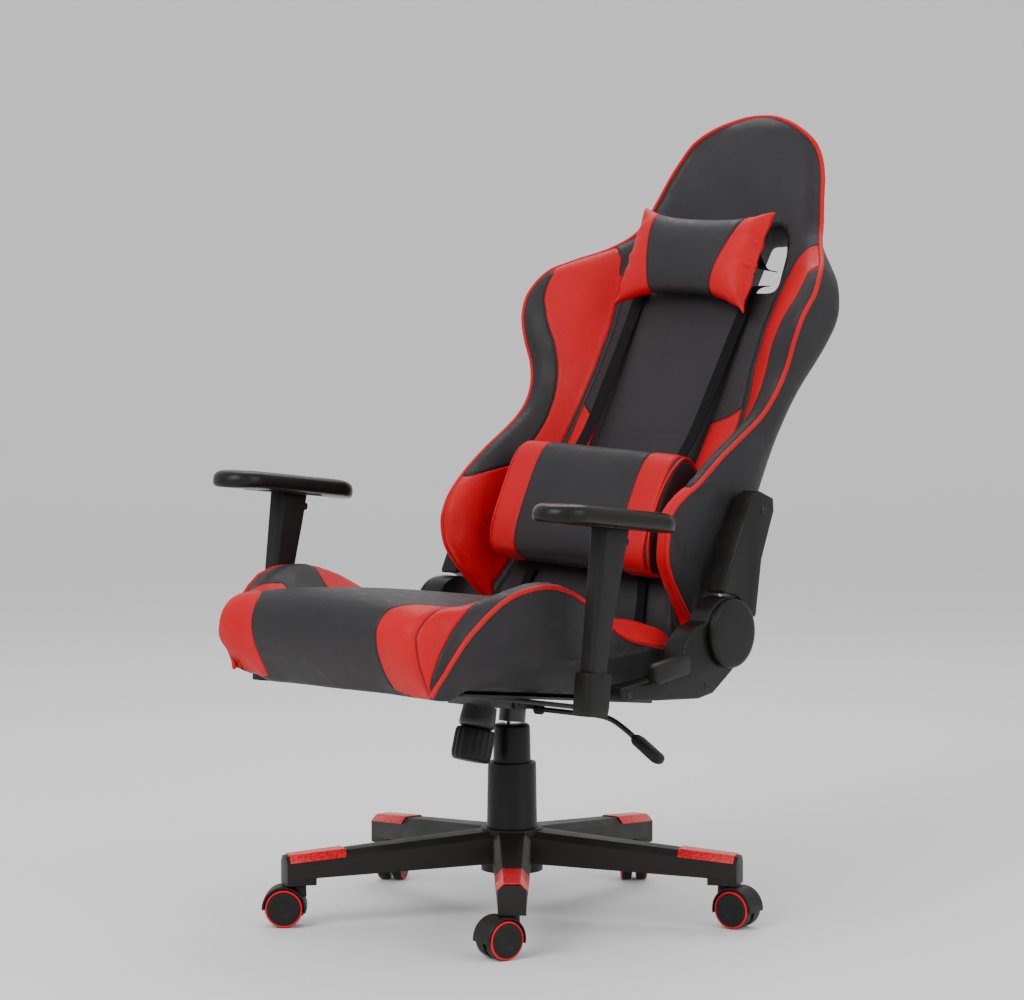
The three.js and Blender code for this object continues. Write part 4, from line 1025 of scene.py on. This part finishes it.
def cover_run(y, z):
    """How far a point of the front or top is from the front's lower edge, over the nose."""
    pivot_y, pivot_z, radius = NOSE
    angle = np.arctan2(np.maximum(z - pivot_z, 0), np.maximum(pivot_y - y, 1e-6))
    nose = pivot_z + radius * angle
    below_top = np.where(z < pivot_z, z, nose)
    return np.where(y > pivot_y, pivot_z + radius * math.pi / 2 + (y - pivot_y), below_top)


def seat_panels(points):
    x, y, z = np.abs(points[:, 0]), points[:, 1], points[:, 2]
    piping = seat_piping_line(1)
    away = away_from(np.column_stack((x, y, z)), piping)
    from_piping = np.linalg.norm(away, axis=1)
    run = cover_run(y, z)
    centre = np.interp(run, *zip(*CENTRE_EDGE))
    seam_x = np.interp(run, *zip(*SEAM_EDGE))
    strip = np.interp(y - away[:, 1], *zip(*STRIP_WIDTH))
    rear_red = np.minimum(x - seam_x, y - REAR_RED_START - (x - 205) * 0.12)
    front_red = np.minimum.reduce([x - centre, from_piping - strip, np.full(len(x), -292.0) - y])
    band = np.minimum(x - centre, seam_x + 1 - x)
    red = np.maximum.reduce([front_red, band, rear_red])
    side = away @ SEAT_OUTWARD > 0
    red = np.where(side, -from_piping - 0.3, red)
    red = np.where((y > 104) | ((z < UNDERSIDE + 1) & (y > -352)), -20, red)
    seam = np.where(side | (run > 320) & (x > 205), 60, x - seam_x)
    return red, np.where(z < 2, 60, seam)


def tucked(points):
    """Draws the cover's lower front corner in on the sitter's right, where it's pulled under the frame."""
    x, y, z = points[:, 0], points[:, 1], points[:, 2]
    share = (1 - ramp(z, -8, 66)) * (1 - ramp(y, -392, -318)) * ramp(-x, 120, 205)
    return points + (share * CORNER_TUCK)[:, None] * (1, 0.3, 0.35)


def seat_piping_line(side, count=260):
    front, top, _ = SEAT_GUIDES[1.0]
    return smooth_path(front + top, count) * (side, 1, 1)


def make_seat():
    skin = seat_shape()
    remeshed(skin, 6.0, 2)
    spots = to_local(coordinates(skin), SEAT)
    red, seam = seat_panels(spots)
    piping = seat_piping_line(1)
    folded = np.column_stack((np.abs(spots[:, 0]), spots[:, 1], spots[:, 2]))
    from_piping = distance_to(folded, piping)
    held = np.maximum.reduce([
        1 - ramp(from_piping, 4, 12),
        (1 - ramp(np.abs(seam), 3, 12)) * 0.9,
        (1 - ramp(np.abs(red), 2, 7)) * 0.4,
        1 - ramp(spots[:, 2], 6, 26),
    ])
    inflated(skin, held, 6, pressure=3.5)
    subdivided(skin)
    spots = to_local(coordinates(skin), SEAT)
    red, seam = seat_panels(spots)
    welted(skin, np.abs(seam), 1.6, 3.0)
    welted(skin, np.abs(red), 0.7, 2.2)
    attribute(skin, "panel", red)
    attribute(skin, "seam", seam)
    set_coordinates(skin, to_world(tucked(to_local(coordinates(skin), SEAT)), SEAT))
    place_piece(skin, "seat", PANEL_LEATHER, "leather_black", "seat_cushion")
    for label, side in SIDES:
        path = laid(skin, to_world(tucked(seat_piping_line(side)), SEAT))
        cord = tube(f"seat_piping_{label}", path, 3.6 * MM, up=(1, 0, 0))
        place_piece(cord, "seat", RED_LEATHER, "leather_red")
        below = tucked(seat_piping_line(side, 150)) + (side * 1.0, 3, -9)
        below = to_world(below, SEAT)
        stitches(f"seat_stitching_{label}", skin, below, DARK_THREAD, "seat", "leather_black")
        seam_line = []
        for distance in np.linspace(4, 640, 170):
            x = np.interp(distance, *zip(*SEAM_EDGE)) - 5
            pivot_y, pivot_z, radius = NOSE
            if distance < pivot_z:
                spot = (x, -425, distance)
            elif distance < pivot_z + radius * math.pi / 2:
                angle = (distance - pivot_z) / radius
                spot = (x, pivot_y - radius * math.cos(angle), pivot_z + radius * math.sin(angle))
            else:
                spot = (x, pivot_y + distance - pivot_z - radius * math.pi / 2, 130)
            seam_line.append((side * spot[0], spot[1], spot[2]))
        stitches(f"seat_seam_{label}", skin, to_world(seam_line, SEAT), RED_THREAD, "seat", "leather_red")
    return skin


# ---------------------------------------------------------------- pillows
LUMBAR_BAND = (104, 157)
PILLOW_TILT = 0.05  # both pillows hang a little lower on the sitter's left


def make_lumbar_pillow():
    """A round-edged pad held across the lower back, with a red band near each end."""
    half = 162
    rings = []
    for u in np.linspace(-1, 1, 74):
        x = u * half
        shrink = 1 - 0.20 * max(0, (abs(x) - (half - 9)) / 9) ** 2
        ring = []
        for k in range(88):
            angle = 2 * math.pi * k / 88
            c, s = math.cos(angle), math.sin(angle)
            n = 50 + (42 if c > 0 else 38) * math.copysign(abs(c) ** 0.62, c) * shrink
            w = 165 + 96 * math.copysign(abs(s) ** 0.62, s) * (shrink * 0.5 + 0.5) - x * PILLOW_TILT
            ring.append((x, n + 2.5 * (1 - u * u), w))
        rings.append(ring)
    skin = lofted("lumbar_cushion", to_world(np.array(rings), BACK))
    remeshed(skin, 4.5, 2)

    def panels(points):
        x = np.abs(points[:, 0])
        inner, outer = LUMBAR_BAND
        return np.minimum(x - inner, outer - x)

    spots = to_local(coordinates(skin), BACK)
    red = panels(spots)
    rim = np.abs(np.abs(spots[:, 0]) - LUMBAR_BAND[1])
    held = np.maximum((1 - ramp(rim, 1, 8)) * 0.85, (1 - ramp(np.abs(red), 1, 6)) * 0.5)
    held = np.maximum(held, 1 - ramp(spots[:, 1], 12, 22))
    inflated(skin, held, 7, pressure=3.5)
    subdivided(skin)
    spots = to_local(coordinates(skin), BACK)
    red = panels(spots)
    welted(skin, np.abs(red), 1.1, 2.2)
    attribute(skin, "panel", red)
    attribute(skin, "seam", np.full(len(red), 60.0))
    place_piece(skin, "lumbar_pillow", PANEL_LEATHER, "leather_red", "lumbar_pillow")
    for label, side in SIDES:
        drop = side * LUMBAR_BAND[1] * PILLOW_TILT
        ring = [(side * (LUMBAR_BAND[1] + 1), 50 + 41 * math.cos(a), 165 - drop + 95 * math.sin(a))
                for a in np.linspace(0, 2 * math.pi, 160)[:-1]]
        path = laid(skin, to_world(ring, BACK), closed=True)
        cord = tube(f"lumbar_piping_{label}", path, 2.4 * MM, up=(1, 0, 0), closed=True)
        place_piece(cord, "lumbar_pillow", RED_LEATHER, "leather_red")


def creased(thing, flat):
    """Folds running in from a pillow's pinched ends. `flat` is (across, up) in mm, folded to one side."""
    x, w = flat[:, 0], flat[:, 1]
    angle = np.arctan2(w - 612, 178 - x)
    waves = np.cos(angle * 11 + 0.6) * 0.6 + np.cos(angle * 19 + 1.9) * 0.4
    share = ramp(x, 82, 122) * (1 - ramp(x, 130, 140) * 0.5)
    set_coordinates(thing, coordinates(thing) + vertex_normals(thing) * (waves * share * 1.7 * MM)[:, None])


def make_head_pillow():
    """A small pillow with pinched, slightly turned-up corners."""
    rings = []
    half = 137
    for u in np.linspace(-1, 1, 84):
        flare = abs(u) ** 3
        x = u * half
        top = 683 + 24 * flare - x * PILLOW_TILT
        low = 556 - 34 * flare - x * PILLOW_TILT
        fill = max(1 - abs(u) ** 6, 0.0) ** 0.6
        pinch = 0.18 + 0.82 * fill
        ring = []
        for k in range(72):
            angle = 2 * math.pi * k / 72
            c, s = math.cos(angle), math.sin(angle)
            depth = (31 if c > 0 else 25) * pinch * abs(c) ** 0.85
            n = 6 + math.copysign(depth, c)
            w = (top + low) / 2 + (top - low) / 2 * math.copysign(abs(s) ** 0.85, s)
            waist = 1 - 0.13 * flare * (1 - s * s)
            ring.append((x * waist, n, w))
        rings.append(ring)
    skin = lofted("head_cushion", to_world(np.array(rings), BACK))
    remeshed(skin, 3.6, 2)

    def panels(points):
        x, w = np.abs(points[:, 0]), points[:, 2]
        edge = 62 + 28 * ramp(w + points[:, 0] * PILLOW_TILT, 545, 695)
        return (x - edge) * 0.97

    spots = to_local(coordinates(skin), BACK)
    red = panels(spots)
    height = spots[:, 2] + spots[:, 0] * PILLOW_TILT
    to_tip = np.minimum(np.abs(height - 707), np.abs(height - 522))
    corner = np.hypot(np.abs(spots[:, 0]) - half, to_tip)
    rim = (1 - ramp(np.abs(spots[:, 1] - 6), 1, 5)) * 0.6
    held = np.maximum.reduce([1 - ramp(corner, 6, 26), (1 - ramp(np.abs(red), 1, 7)) * 0.75, rim])
    inflated(skin, held, 8, pressure=5.0, bending=0.15, stiffness=8)
    relax(skin, 4)
    subdivided(skin)
    relax(skin, 7)
    spots = to_local(coordinates(skin), BACK)
    red = panels(spots)
    creased(skin, np.column_stack((np.abs(spots[:, 0]), spots[:, 2] + spots[:, 0] * PILLOW_TILT)))
    welted(skin, np.abs(red), 1.2, 2.2)
    attribute(skin, "panel", red)
    attribute(skin, "seam", np.full(len(red), 60.0))
    place_piece(skin, "head_pillow", PANEL_LEATHER, "leather_red", "head_pillow")
    for label, side in SIDES:
        line = [(side * (58 + 28 * float(ramp(np.array(w), 545, 695))), 40, w - side * 74 * PILLOW_TILT)
                for w in np.linspace(566, 676, 30)]
        line = to_world(line, BACK)
        stitches(f"head_seam_{label}", skin, line, DARK_THREAD, "head_pillow", "leather_black")


# ---------------------------------------------------------------- straps
def strap(name, points, width, body, thickness=1.6):
    path = to_world(smooth_path(points, 90), BACK)
    half, edge = width / 2 * MM, 0.5 * MM
    t = thickness / 2 * MM
    section = [(-t, -half + edge), (-t, half - edge), (-t + edge, half), (t - edge, half),
               (t, half - edge), (t, -half + edge), (t - edge, -half), (-t + edge, -half)]
    band = swept(name, path, section, up=(1, 0, 0))
    place_piece(band, body, STRAP, "leather_black")


STRAPS = (
    ("lumbar", ((113, -46, 594), (112, -36, 588), (111, -24, 575), (109, -18, 520),
                (107, -10, 420), (106, 0, 320), (106, 12, 268), (106, 14, 250)), 22),
    ("lower", ((110, 22, 74), (116, 17, 50), (122, 14, 20), (126, 8, -14), (127, -10, -30)), 16),
    ("head", ((101, -2, 640), (99, -18, 634), (93, -50, 628), (85, -84, 640)), 20),
)


def make_straps():
    for label, side in SIDES:
        for name, points, width in STRAPS:
            strap(f"{name}_strap_{label}", [(side * x, n, w) for x, n, w in points], width, "back")


def make_slot_linings():
    """Moulded rims round the two shoulder slots."""
    for label, side in SIDES:
        rings = [slot_ring(side, depth, grow) for grow, depth in
                 ((1.5, -38), (-0.5, -41), (-1.2, -46), (-1.4, -64), (-1.2, -82), (-0.5, -92), (1.5, -96))]
        rim = lofted(f"slot_rim_{label}", to_world(np.array(rings), BACK), caps=False)
        modifier = rim.modifiers.new("wall", "SOLIDIFY")
        modifier.thickness = 1.2 * MM
        applied(rim)
        rim.data.shade_smooth()
        place_piece(rim, "back", LINING, "moulded_black")


# ---------------------------------------------------------------- hard parts
def hard(node, look, slot, bevel=1.5, angle=32):
    """A rounded copy of a CAD piece on the body that piece belongs to."""
    return place_piece(refined(node, bevel, angle), NODES[node]["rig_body"], look, slot, node)


def coat(node, look):
    """The CAD piece itself, given its finish."""
    NODES[node].data.materials.clear()
    NODES[node].data.materials.append(look)


def plate(name, corners, x0, x1, place, bevel=3.0):
    """An outline of (rearward, up) points carried from x0 to x1, with its rim rounded."""
    corners = np.asarray(corners, float)
    sign = 1 if place is SEAT else -1
    flat = np.column_stack((np.zeros(len(corners)), corners[:, 0] * sign, corners[:, 1]))
    rings = [flat + (x, 0, 0) for x in (x0, x1)]
    thing = lofted(name, to_world(np.array(rings), place))
    modifier = thing.modifiers.new("edge", "BEVEL")
    modifier.width = bevel * MM
    modifier.segments = 4
    modifier.limit_method = "ANGLE"
    modifier.angle_limit = math.radians(50)
    applied(thing)
    thing.data.shade_smooth()
    thing.data.set_sharp_from_angle(angle=math.radians(38))
    return thing


def arc(centre, radius, start, end, count=30):
    angles = np.radians(np.linspace(start, end, count))
    return [(centre[0] + radius * math.cos(a), centre[1] + radius * math.sin(a)) for a in angles]


def make_screw(name, spot, direction, body, radius=4.5):
    profile = [(0, -2), (radius, -2), (radius, 0.6), (radius - 0.7, 1.3),
               (radius * 0.55, 1.5), (radius * 0.5, 0.2), (0, 0.1)]
    place_piece(lathed(name, profile, spot, direction, 24), body, STEEL, "steel_black")


def make_base():
    hard("star_base", NYLON, "nylon_black", bevel=2.6)
    coat("gas_cylinder", STEEL)
    for number in range(1, 6):
        hard(f"leg_pad_{number}", RED_PAD, "red_plastic", bevel=0.7)
        coat(f"caster_stem_{number}", CHROME)
    lower = lathed("lower_column_cover", [
        (36.4, 130.3), (38.2, 130.3), (38.2, 134), (37.6, 136), (36.0, 225.5), (35.5, 227.7), (34.0, 228.3),
        (30.4, 228.3), (29.9, 227.6), (29.9, 225.0), (34.3, 224.6), (36.2, 136), (36.4, 130.3),
    ], (COLUMN.x, COLUMN.y, 0), (0, 0, 1))
    place_piece(lower, "base", COVER_PLASTIC, "moulded_black", "column_cover_lower")
    upper = lathed("upper_column_cover", [
        (27.4, 193), (29.0, 193), (29.0, 196), (27.0, 279.5), (26.4, 282), (24.8, 284), (22.4, 285), (14.4, 285),
        (14.4, 283.4), (22, 283.4), (25.2, 279), (27.3, 196), (27.4, 193),
    ], (COLUMN.x, COLUMN.y, 0), (0, 0, 1))
    place_piece(upper, "lift", COVER_PLASTIC, "moulded_black", "column_cover_upper")
    rod = lathed("piston_rod", [(0, 120), (13.4, 120), (14, 121), (14, 313.4), (13.4, 314), (0, 314)],
                 (COLUMN.x, COLUMN.y, 0), (0, 0, 1))
    place_piece(rod, "lift", CHROME, "chrome", "gas_piston")


WHEEL_PROFILE = [
    (3.4, 3.2), (24.6, 3.2), (26.8, 3.8), (27.8, 5.4), (28.0, 7.4), (28.0, 16.2), (27.8, 17.6), (27.3, 18.6),
    (24.6, 19.2), (24.2, 20.4), (23.6, 21.0), (20, 21.3), (8.4, 21.4), (8.0, 21.1), (7.2, 21.1), (6.8, 21.45),
    (0, 21.5),
]
RING_PROFILE = [(24.4, 18.6), (24.5, 20.2), (25.0, 20.8), (26.2, 20.7), (27.1, 19.8), (27.5, 18.4)]


def make_casters():
    for number in range(1, 6):
        pivot = Vector(JOINTS[f"caster_swivel_{number}"]["pos_m"])
        axle = Vector(JOINTS[f"wheel_spin_left_{number}"]["pos_m"])
        across = Vector(JOINTS[f"wheel_spin_left_{number}"]["axis"])
        for label, side in SIDES:
            wheel = lathed(f"caster_tyre_{label}_{number}", WHEEL_PROFILE, axle, across * side, 64)
            body = f"wheel_{label}_{number}"
            place_piece(wheel, body, WHEEL, "wheel_black", f"caster_wheel_{label}_{number}")
            ring = lathed(f"caster_ring_{label}_{number}", RING_PROFILE, axle, across * side, 64)
            place_piece(ring, body, RED_TRIM, "red_plastic")
        heading = Vector((axle.x - pivot.x, axle.y - pivot.y, 0)).normalized()
        make_hood(number, pivot, axle, heading, across)


def make_hood(number, pivot, axle, heading, across):
    """The arched cover over a pair of wheels, its boss round the stem and its web between the wheels."""
    inner, outer, half = 29.4, 32.4, 20.0
    section = [(inner, -half), (outer - 1.2, -half), (outer, -half + 1.6), (outer + 0.1, -8), (outer + 0.1, 8),
               (outer, half - 1.6), (outer - 1.2, half), (inner, half)]
    rings = []
    for angle in np.radians(np.linspace(-4, 192, 56)):
        out = heading * math.cos(angle) + Vector((0, 0, math.sin(angle)))
        rings.append([axle + out * r * MM + across * y * MM for r, y in section])
    fender = lofted(f"hood_arch_{number}", rings)
    web_rings = []
    for y in (-2.4, 2.4):
        rim = [axle + (heading * math.cos(a) + Vector((0, 0, math.sin(a)))) * 30 * MM + across * y * MM
               for a in np.radians(np.linspace(-25, 205, 48))]
        web_rings.append(rim)
    web = lofted(f"hood_web_{number}", web_rings)
    profile = [(0, 44), (11.4, 44), (11.0, 57), (10.6, 59.6), (9.2, 61), (5.9, 61), (5.9, 52), (0, 52)]
    boss = lathed(f"hood_boss_{number}", profile, (pivot.x, pivot.y, 0), (0, 0, 1), 40)
    pin = lathed(f"hood_axle_{number}", [(0, -17), (3, -17), (3, 17), (0, 17)], axle, across, 20)
    hood = joined(f"caster_cover_{number}", [fender, web, boss, pin])
    hood.data.shade_smooth()
    hood.data.set_sharp_from_angle(angle=math.radians(35))
    place_piece(hood, f"caster_{number}", PLASTIC, "moulded_black", f"caster_hood_{number}")


def make_mechanism():
    hard("tilt_housing", STEEL, "steel_black", bevel=2.5)
    coat("tilt_plate", STEEL)
    coat("seat_frame", STEEL)
    knob_joint = JOINTS["tension_knob_turn"]
    spot, axis = Vector(knob_joint["pos_m"]), Vector(knob_joint["axis"])
    cup = lathed("spring_cup", [
        (0, -62), (5.6, -62), (5.6, -34.4), (17, -34), (22.5, -33.4), (25.6, -31.4), (27, -27),
        (26.8, -20), (25.8, -10), (25.2, -2), (25.2, -0.6), (0, -0.6),
    ], spot, axis, 64)
    place_piece(cup, "mechanism", STEEL, "moulded_black", "tension_cup")
    rings = []
    for height, scale, ribs in ((-82.6, 0.30, 0), (-82.6, 0.80, 0), (-82.0, 0.88, 0.2), (-79.5, 0.945, 0.6),
                                (-75, 0.985, 1), (-68, 1, 1), (-46, 1, 1), (-39, 0.985, 1), (-36, 0.94, 0.5),
                                (-34.7, 0.87, 0), (-34.6, 0.25, 0)):
        ring = []
        for k in range(216):
            angle = 2 * math.pi * k / 216
            radius = 30 * scale - 1.6 * ribs * (0.5 - 0.5 * math.cos(18 * angle)) ** 0.6
            side = ACROSS * math.cos(angle) + axis.cross(ACROSS) * math.sin(angle)
            ring.append(spot + side * radius * MM + axis * height * MM)
        rings.append(ring)
    knob = lofted("tension_grip", rings)
    knob.data.set_sharp_from_angle(angle=math.radians(50))
    place_piece(knob, "tension_knob", PLASTIC, "moulded_black", "tension_knob")
    bush_spot = Vector(JOINTS["height_lever_lift"]["pos_m"])
    profile = [(4.2, -6), (7, -6), (8, -5), (8, 5), (7, 6), (4.2, 6), (4.2, -6)]
    bush = lathed("lever_ring", profile, bush_spot, ACROSS, 40)
    place_piece(bush, "lever_bush", PLASTIC, "moulded_black", "lever_bush")
    bend = [(48, 2, -19), (74, 2, -19), (130, 2, -19), (176, 2, -19.2),
            (196, 2, -23), (217, 2, -32), (237.5, 2, -42.8)]
    rod = tube("lever_rod", to_world(smooth_path(bend, 60), SEAT), 4 * MM, up=(0, 1, 0))
    place_piece(rod, "height_lever", STEEL, "steel_black", "height_lever_rod")
    hard("height_lever_grip", PLASTIC, "moulded_black", bevel=4.5)


# ---------------------------------------------------------------- arms
def stadium(width, length, count=40):
    """A rounded outline of (across, rearward) points."""
    half = width / 2
    straight = max(length / 2 - half, 0)
    bends = ((math.pi, -straight), (0, straight))
    return [(half * math.cos(a), middle + half * math.sin(a))
            for start, middle in bends for a in np.linspace(start, start + math.pi, count)]


# how far the pad's outline is drawn in at each height
PAD_LAYERS = (
    (7.5, 0.0), (4.0, 0.5), (1.4, 2.4), (0.2, 5.4), (0.0, 9.0), (0.0, 13.0), (0.7, 16.6), (2.4, 19.8),
    (5.4, 22.4), (9.6, 24.0), (15.5, 24.8), (24.0, 25.0), (36.0, 25.0),
)
PAD_WIDTH, PAD_LENGTH, PAD_DROOP = 88, 260, 7
ARM_X, ARM_Y, POST_TOP = 320, -194, 250
RIGHT_ARM_LIFT = 23


def make_arm(label, side):
    lift = 0 if side == 1 else RIGHT_ARM_LIFT
    centre = np.array((side * ARM_X, ARM_Y, 0))
    hard(f"arm_bracket_{label}", STEEL, "steel_black", bevel=1.4)
    hard(f"arm_sleeve_{label}", COVER_PLASTIC, "moulded_black", bevel=3.0)
    hard(f"arm_post_{label}", PLASTIC, "moulded_black", bevel=2.4)
    hard(f"arm_button_{label}", PLASTIC, "moulded_black", bevel=1.6)
    bottom = POST_TOP + 6.3 + lift
    rings = []
    for inset, height in PAD_LAYERS:
        outline = stadium(PAD_WIDTH - 2 * inset, PAD_LENGTH - 2 * inset)
        level = bottom + height
        rings.append([centre + (x, y, level - PAD_DROOP * (2 * y / PAD_LENGTH) ** 2) for x, y in outline])
    pad = lofted(f"arm_cushion_{label}", to_world(np.array(rings), SEAT))
    pad.data.set_sharp_from_angle(angle=math.radians(60))
    place_piece(pad, f"arm_{label}", PAD_SKIN, "pad_black", f"arm_pad_{label}")
    rings = []
    for inset, height in ((0.8, 0.3), (0, 1.0), (0, 6.4)):
        x, y = 31 - inset, 60 - inset
        corners = smooth_loop([(-x, -y), (x, -y), (x, y), (-x, y)], 14)
        rings.append([centre + (x, y, POST_TOP + lift + height) for x, y in corners])
    under = lofted(f"pad_plate_{label}", to_world(np.array(rings), SEAT))
    under.data.set_sharp_from_angle(angle=math.radians(40))
    place_piece(under, f"arm_{label}", PLASTIC, "moulded_black")


# ---------------------------------------------------------------- recliner
RECLINE = (142, 115)
HUB_RADIUS = 53
COVER_INNER, LOWER_OUTER, UPPER_OUTER = 251, 288, 284


def make_recliner(label, side):
    low = [(-92, 10), (-12, 12), (85, 17), (117, 26), (150, RECLINE[1] - HUB_RADIUS - 9)]
    high = [(62, 118), (44, 98), (34, 66), (-4, 44), (-92, 27)]
    outline = low + arc(RECLINE, HUB_RADIUS, -62, 165, 60) + high
    cover = plate(f"hinge_cover_{label}", outline, side * COVER_INNER, side * LOWER_OUTER, SEAT, bevel=5.0)
    place_piece(cover, "seat", COVER_PLASTIC, "moulded_black", f"recliner_cover_{label}")
    face = side * (LOWER_OUTER + 0.2)
    hub = to_world([(face, *RECLINE)], SEAT)[0]
    cap = lathed(f"hinge_cap_{label}", [
        (0, -60), (8, -60), (8, 0), (50, 0), (51, 1.2), (51, 7.6), (50.2, 9.6), (47.4, 11.4),
        (43, 12.0), (20, 12.3), (0, 12.3),
    ], hub, ACROSS * side, 96)
    place_piece(cap, "seat", COVER_PLASTIC, "moulded_black", f"recliner_cap_{label}")
    bracket = [(-34, 53), (-36, 150), (-34, 204), (-22, 218), (12, 222), (22, 206), (28, 130), (54, 50)]
    bracket += arc((0, 0), HUB_RADIUS + 4.6, 42, 122, 40)
    upper = plate(f"back_cover_{label}", bracket, side * COVER_INNER, side * UPPER_OUTER, BACK, bevel=5.0)
    place_piece(upper, "back", COVER_PLASTIC, "moulded_black", f"back_bracket_{label}")
    spots = {
        "low": (to_world([(face, -74, 18.5)], SEAT)[0], "seat"),
        "rear": (to_world([(face, 100, 36)], SEAT)[0], "seat"),
        "high": (to_world([(side * (UPPER_OUTER + 0.2), 2, 196)], BACK)[0], "back"),
    }
    for place, (spot, body) in spots.items():
        make_screw(f"cover_screw_{place}_{label}", spot, ACROSS * side, body)


# ---------------------------------------------------------------- the chair
back_skin = make_backrest()
make_back_piping(back_skin)
make_seat()
make_lumbar_pillow()
make_head_pillow()
make_straps()
make_slot_linings()
make_base()
make_casters()
make_mechanism()
for label, side in SIDES:
    make_arm(label, side)
    make_recliner(label, side)
hard("recline_lever", PLASTIC, "moulded_black", bevel=4.0)
coat("backrest_frame", STEEL)


# ---------------------------------------------------------------- studio
VIEW_AZIMUTH = math.radians(42)


def make_studio():
    """A paper sweep behind the chair, pale surroundings and three soft lamps."""
    wall, bend = 6.6, 1.4
    sweep = [(wall + bend * math.sin(a), bend - bend * math.cos(a)) for a in np.linspace(0.1, math.pi / 2, 14)]
    rows = [(-9.0, 0), (wall, 0)] + sweep + [(wall + bend, 9.0)]
    turn = Matrix.Rotation(VIEW_AZIMUTH, 3, "Z")
    sheet = [turn @ Vector((x, y, z - 0.0005)) for y, z in rows for x in (-14, 14)]
    faces = [(2 * k, 2 * k + 1, 2 * k + 3, 2 * k + 2) for k in range(len(rows) - 1)]
    floor = new_object("floor", sheet, faces)
    paper = Look("pale_floor")
    paper.set(Base_Color=(0.88, 0.87, 0.86, 1), Roughness=0.85)
    floor.data.materials.append(paper.material)
    world = bpy.data.worlds.new("studio")
    bpy.context.scene.world = world
    world.use_nodes = True
    backdrop = world.node_tree.nodes["Background"]
    backdrop.inputs["Color"].default_value = (0.93, 0.94, 0.96, 1)
    backdrop.inputs["Strength"].default_value = 0.85
    lamps = (
        ("key", (0.2, -3.6, 3.2), 110, 2.4),
        ("side", (3.8, 0.2, 2.2), 45, 2.4),
        ("top", (-1.2, 1.6, 3.4), 45, 2.2),
    )
    for name, spot, power, size in lamps:
        lamp = bpy.data.lights.new(name, "AREA")
        lamp.energy = power
        lamp.size = size
        light = bpy.data.objects.new(name, lamp)
        light.location = spot
        light.rotation_euler = (Vector((0, 0, 0.6)) - Vector(spot)).to_track_quat("-Z", "Y").to_euler()
        bpy.context.scene.collection.objects.link(light)


def make_camera():
    azimuth, pitch = VIEW_AZIMUTH, math.radians(3.5)
    distance, height = 4.8, 0.912
    ahead = (-math.sin(azimuth) * math.cos(pitch), math.cos(azimuth) * math.cos(pitch), -math.sin(pitch))
    lens = bpy.data.cameras.new("camera")
    lens.lens = 113.9
    lens.sensor_width = 36
    camera = bpy.data.objects.new("camera", lens)
    camera.location = (
        COLUMN.x + distance * math.sin(azimuth),
        COLUMN.y - distance * math.cos(azimuth),
        height,
    )
    camera.rotation_euler = Vector(ahead).to_track_quat("-Z", "Y").to_euler()
    bpy.context.scene.collection.objects.link(camera)
    bpy.context.scene.camera = camera


make_studio()
make_camera()
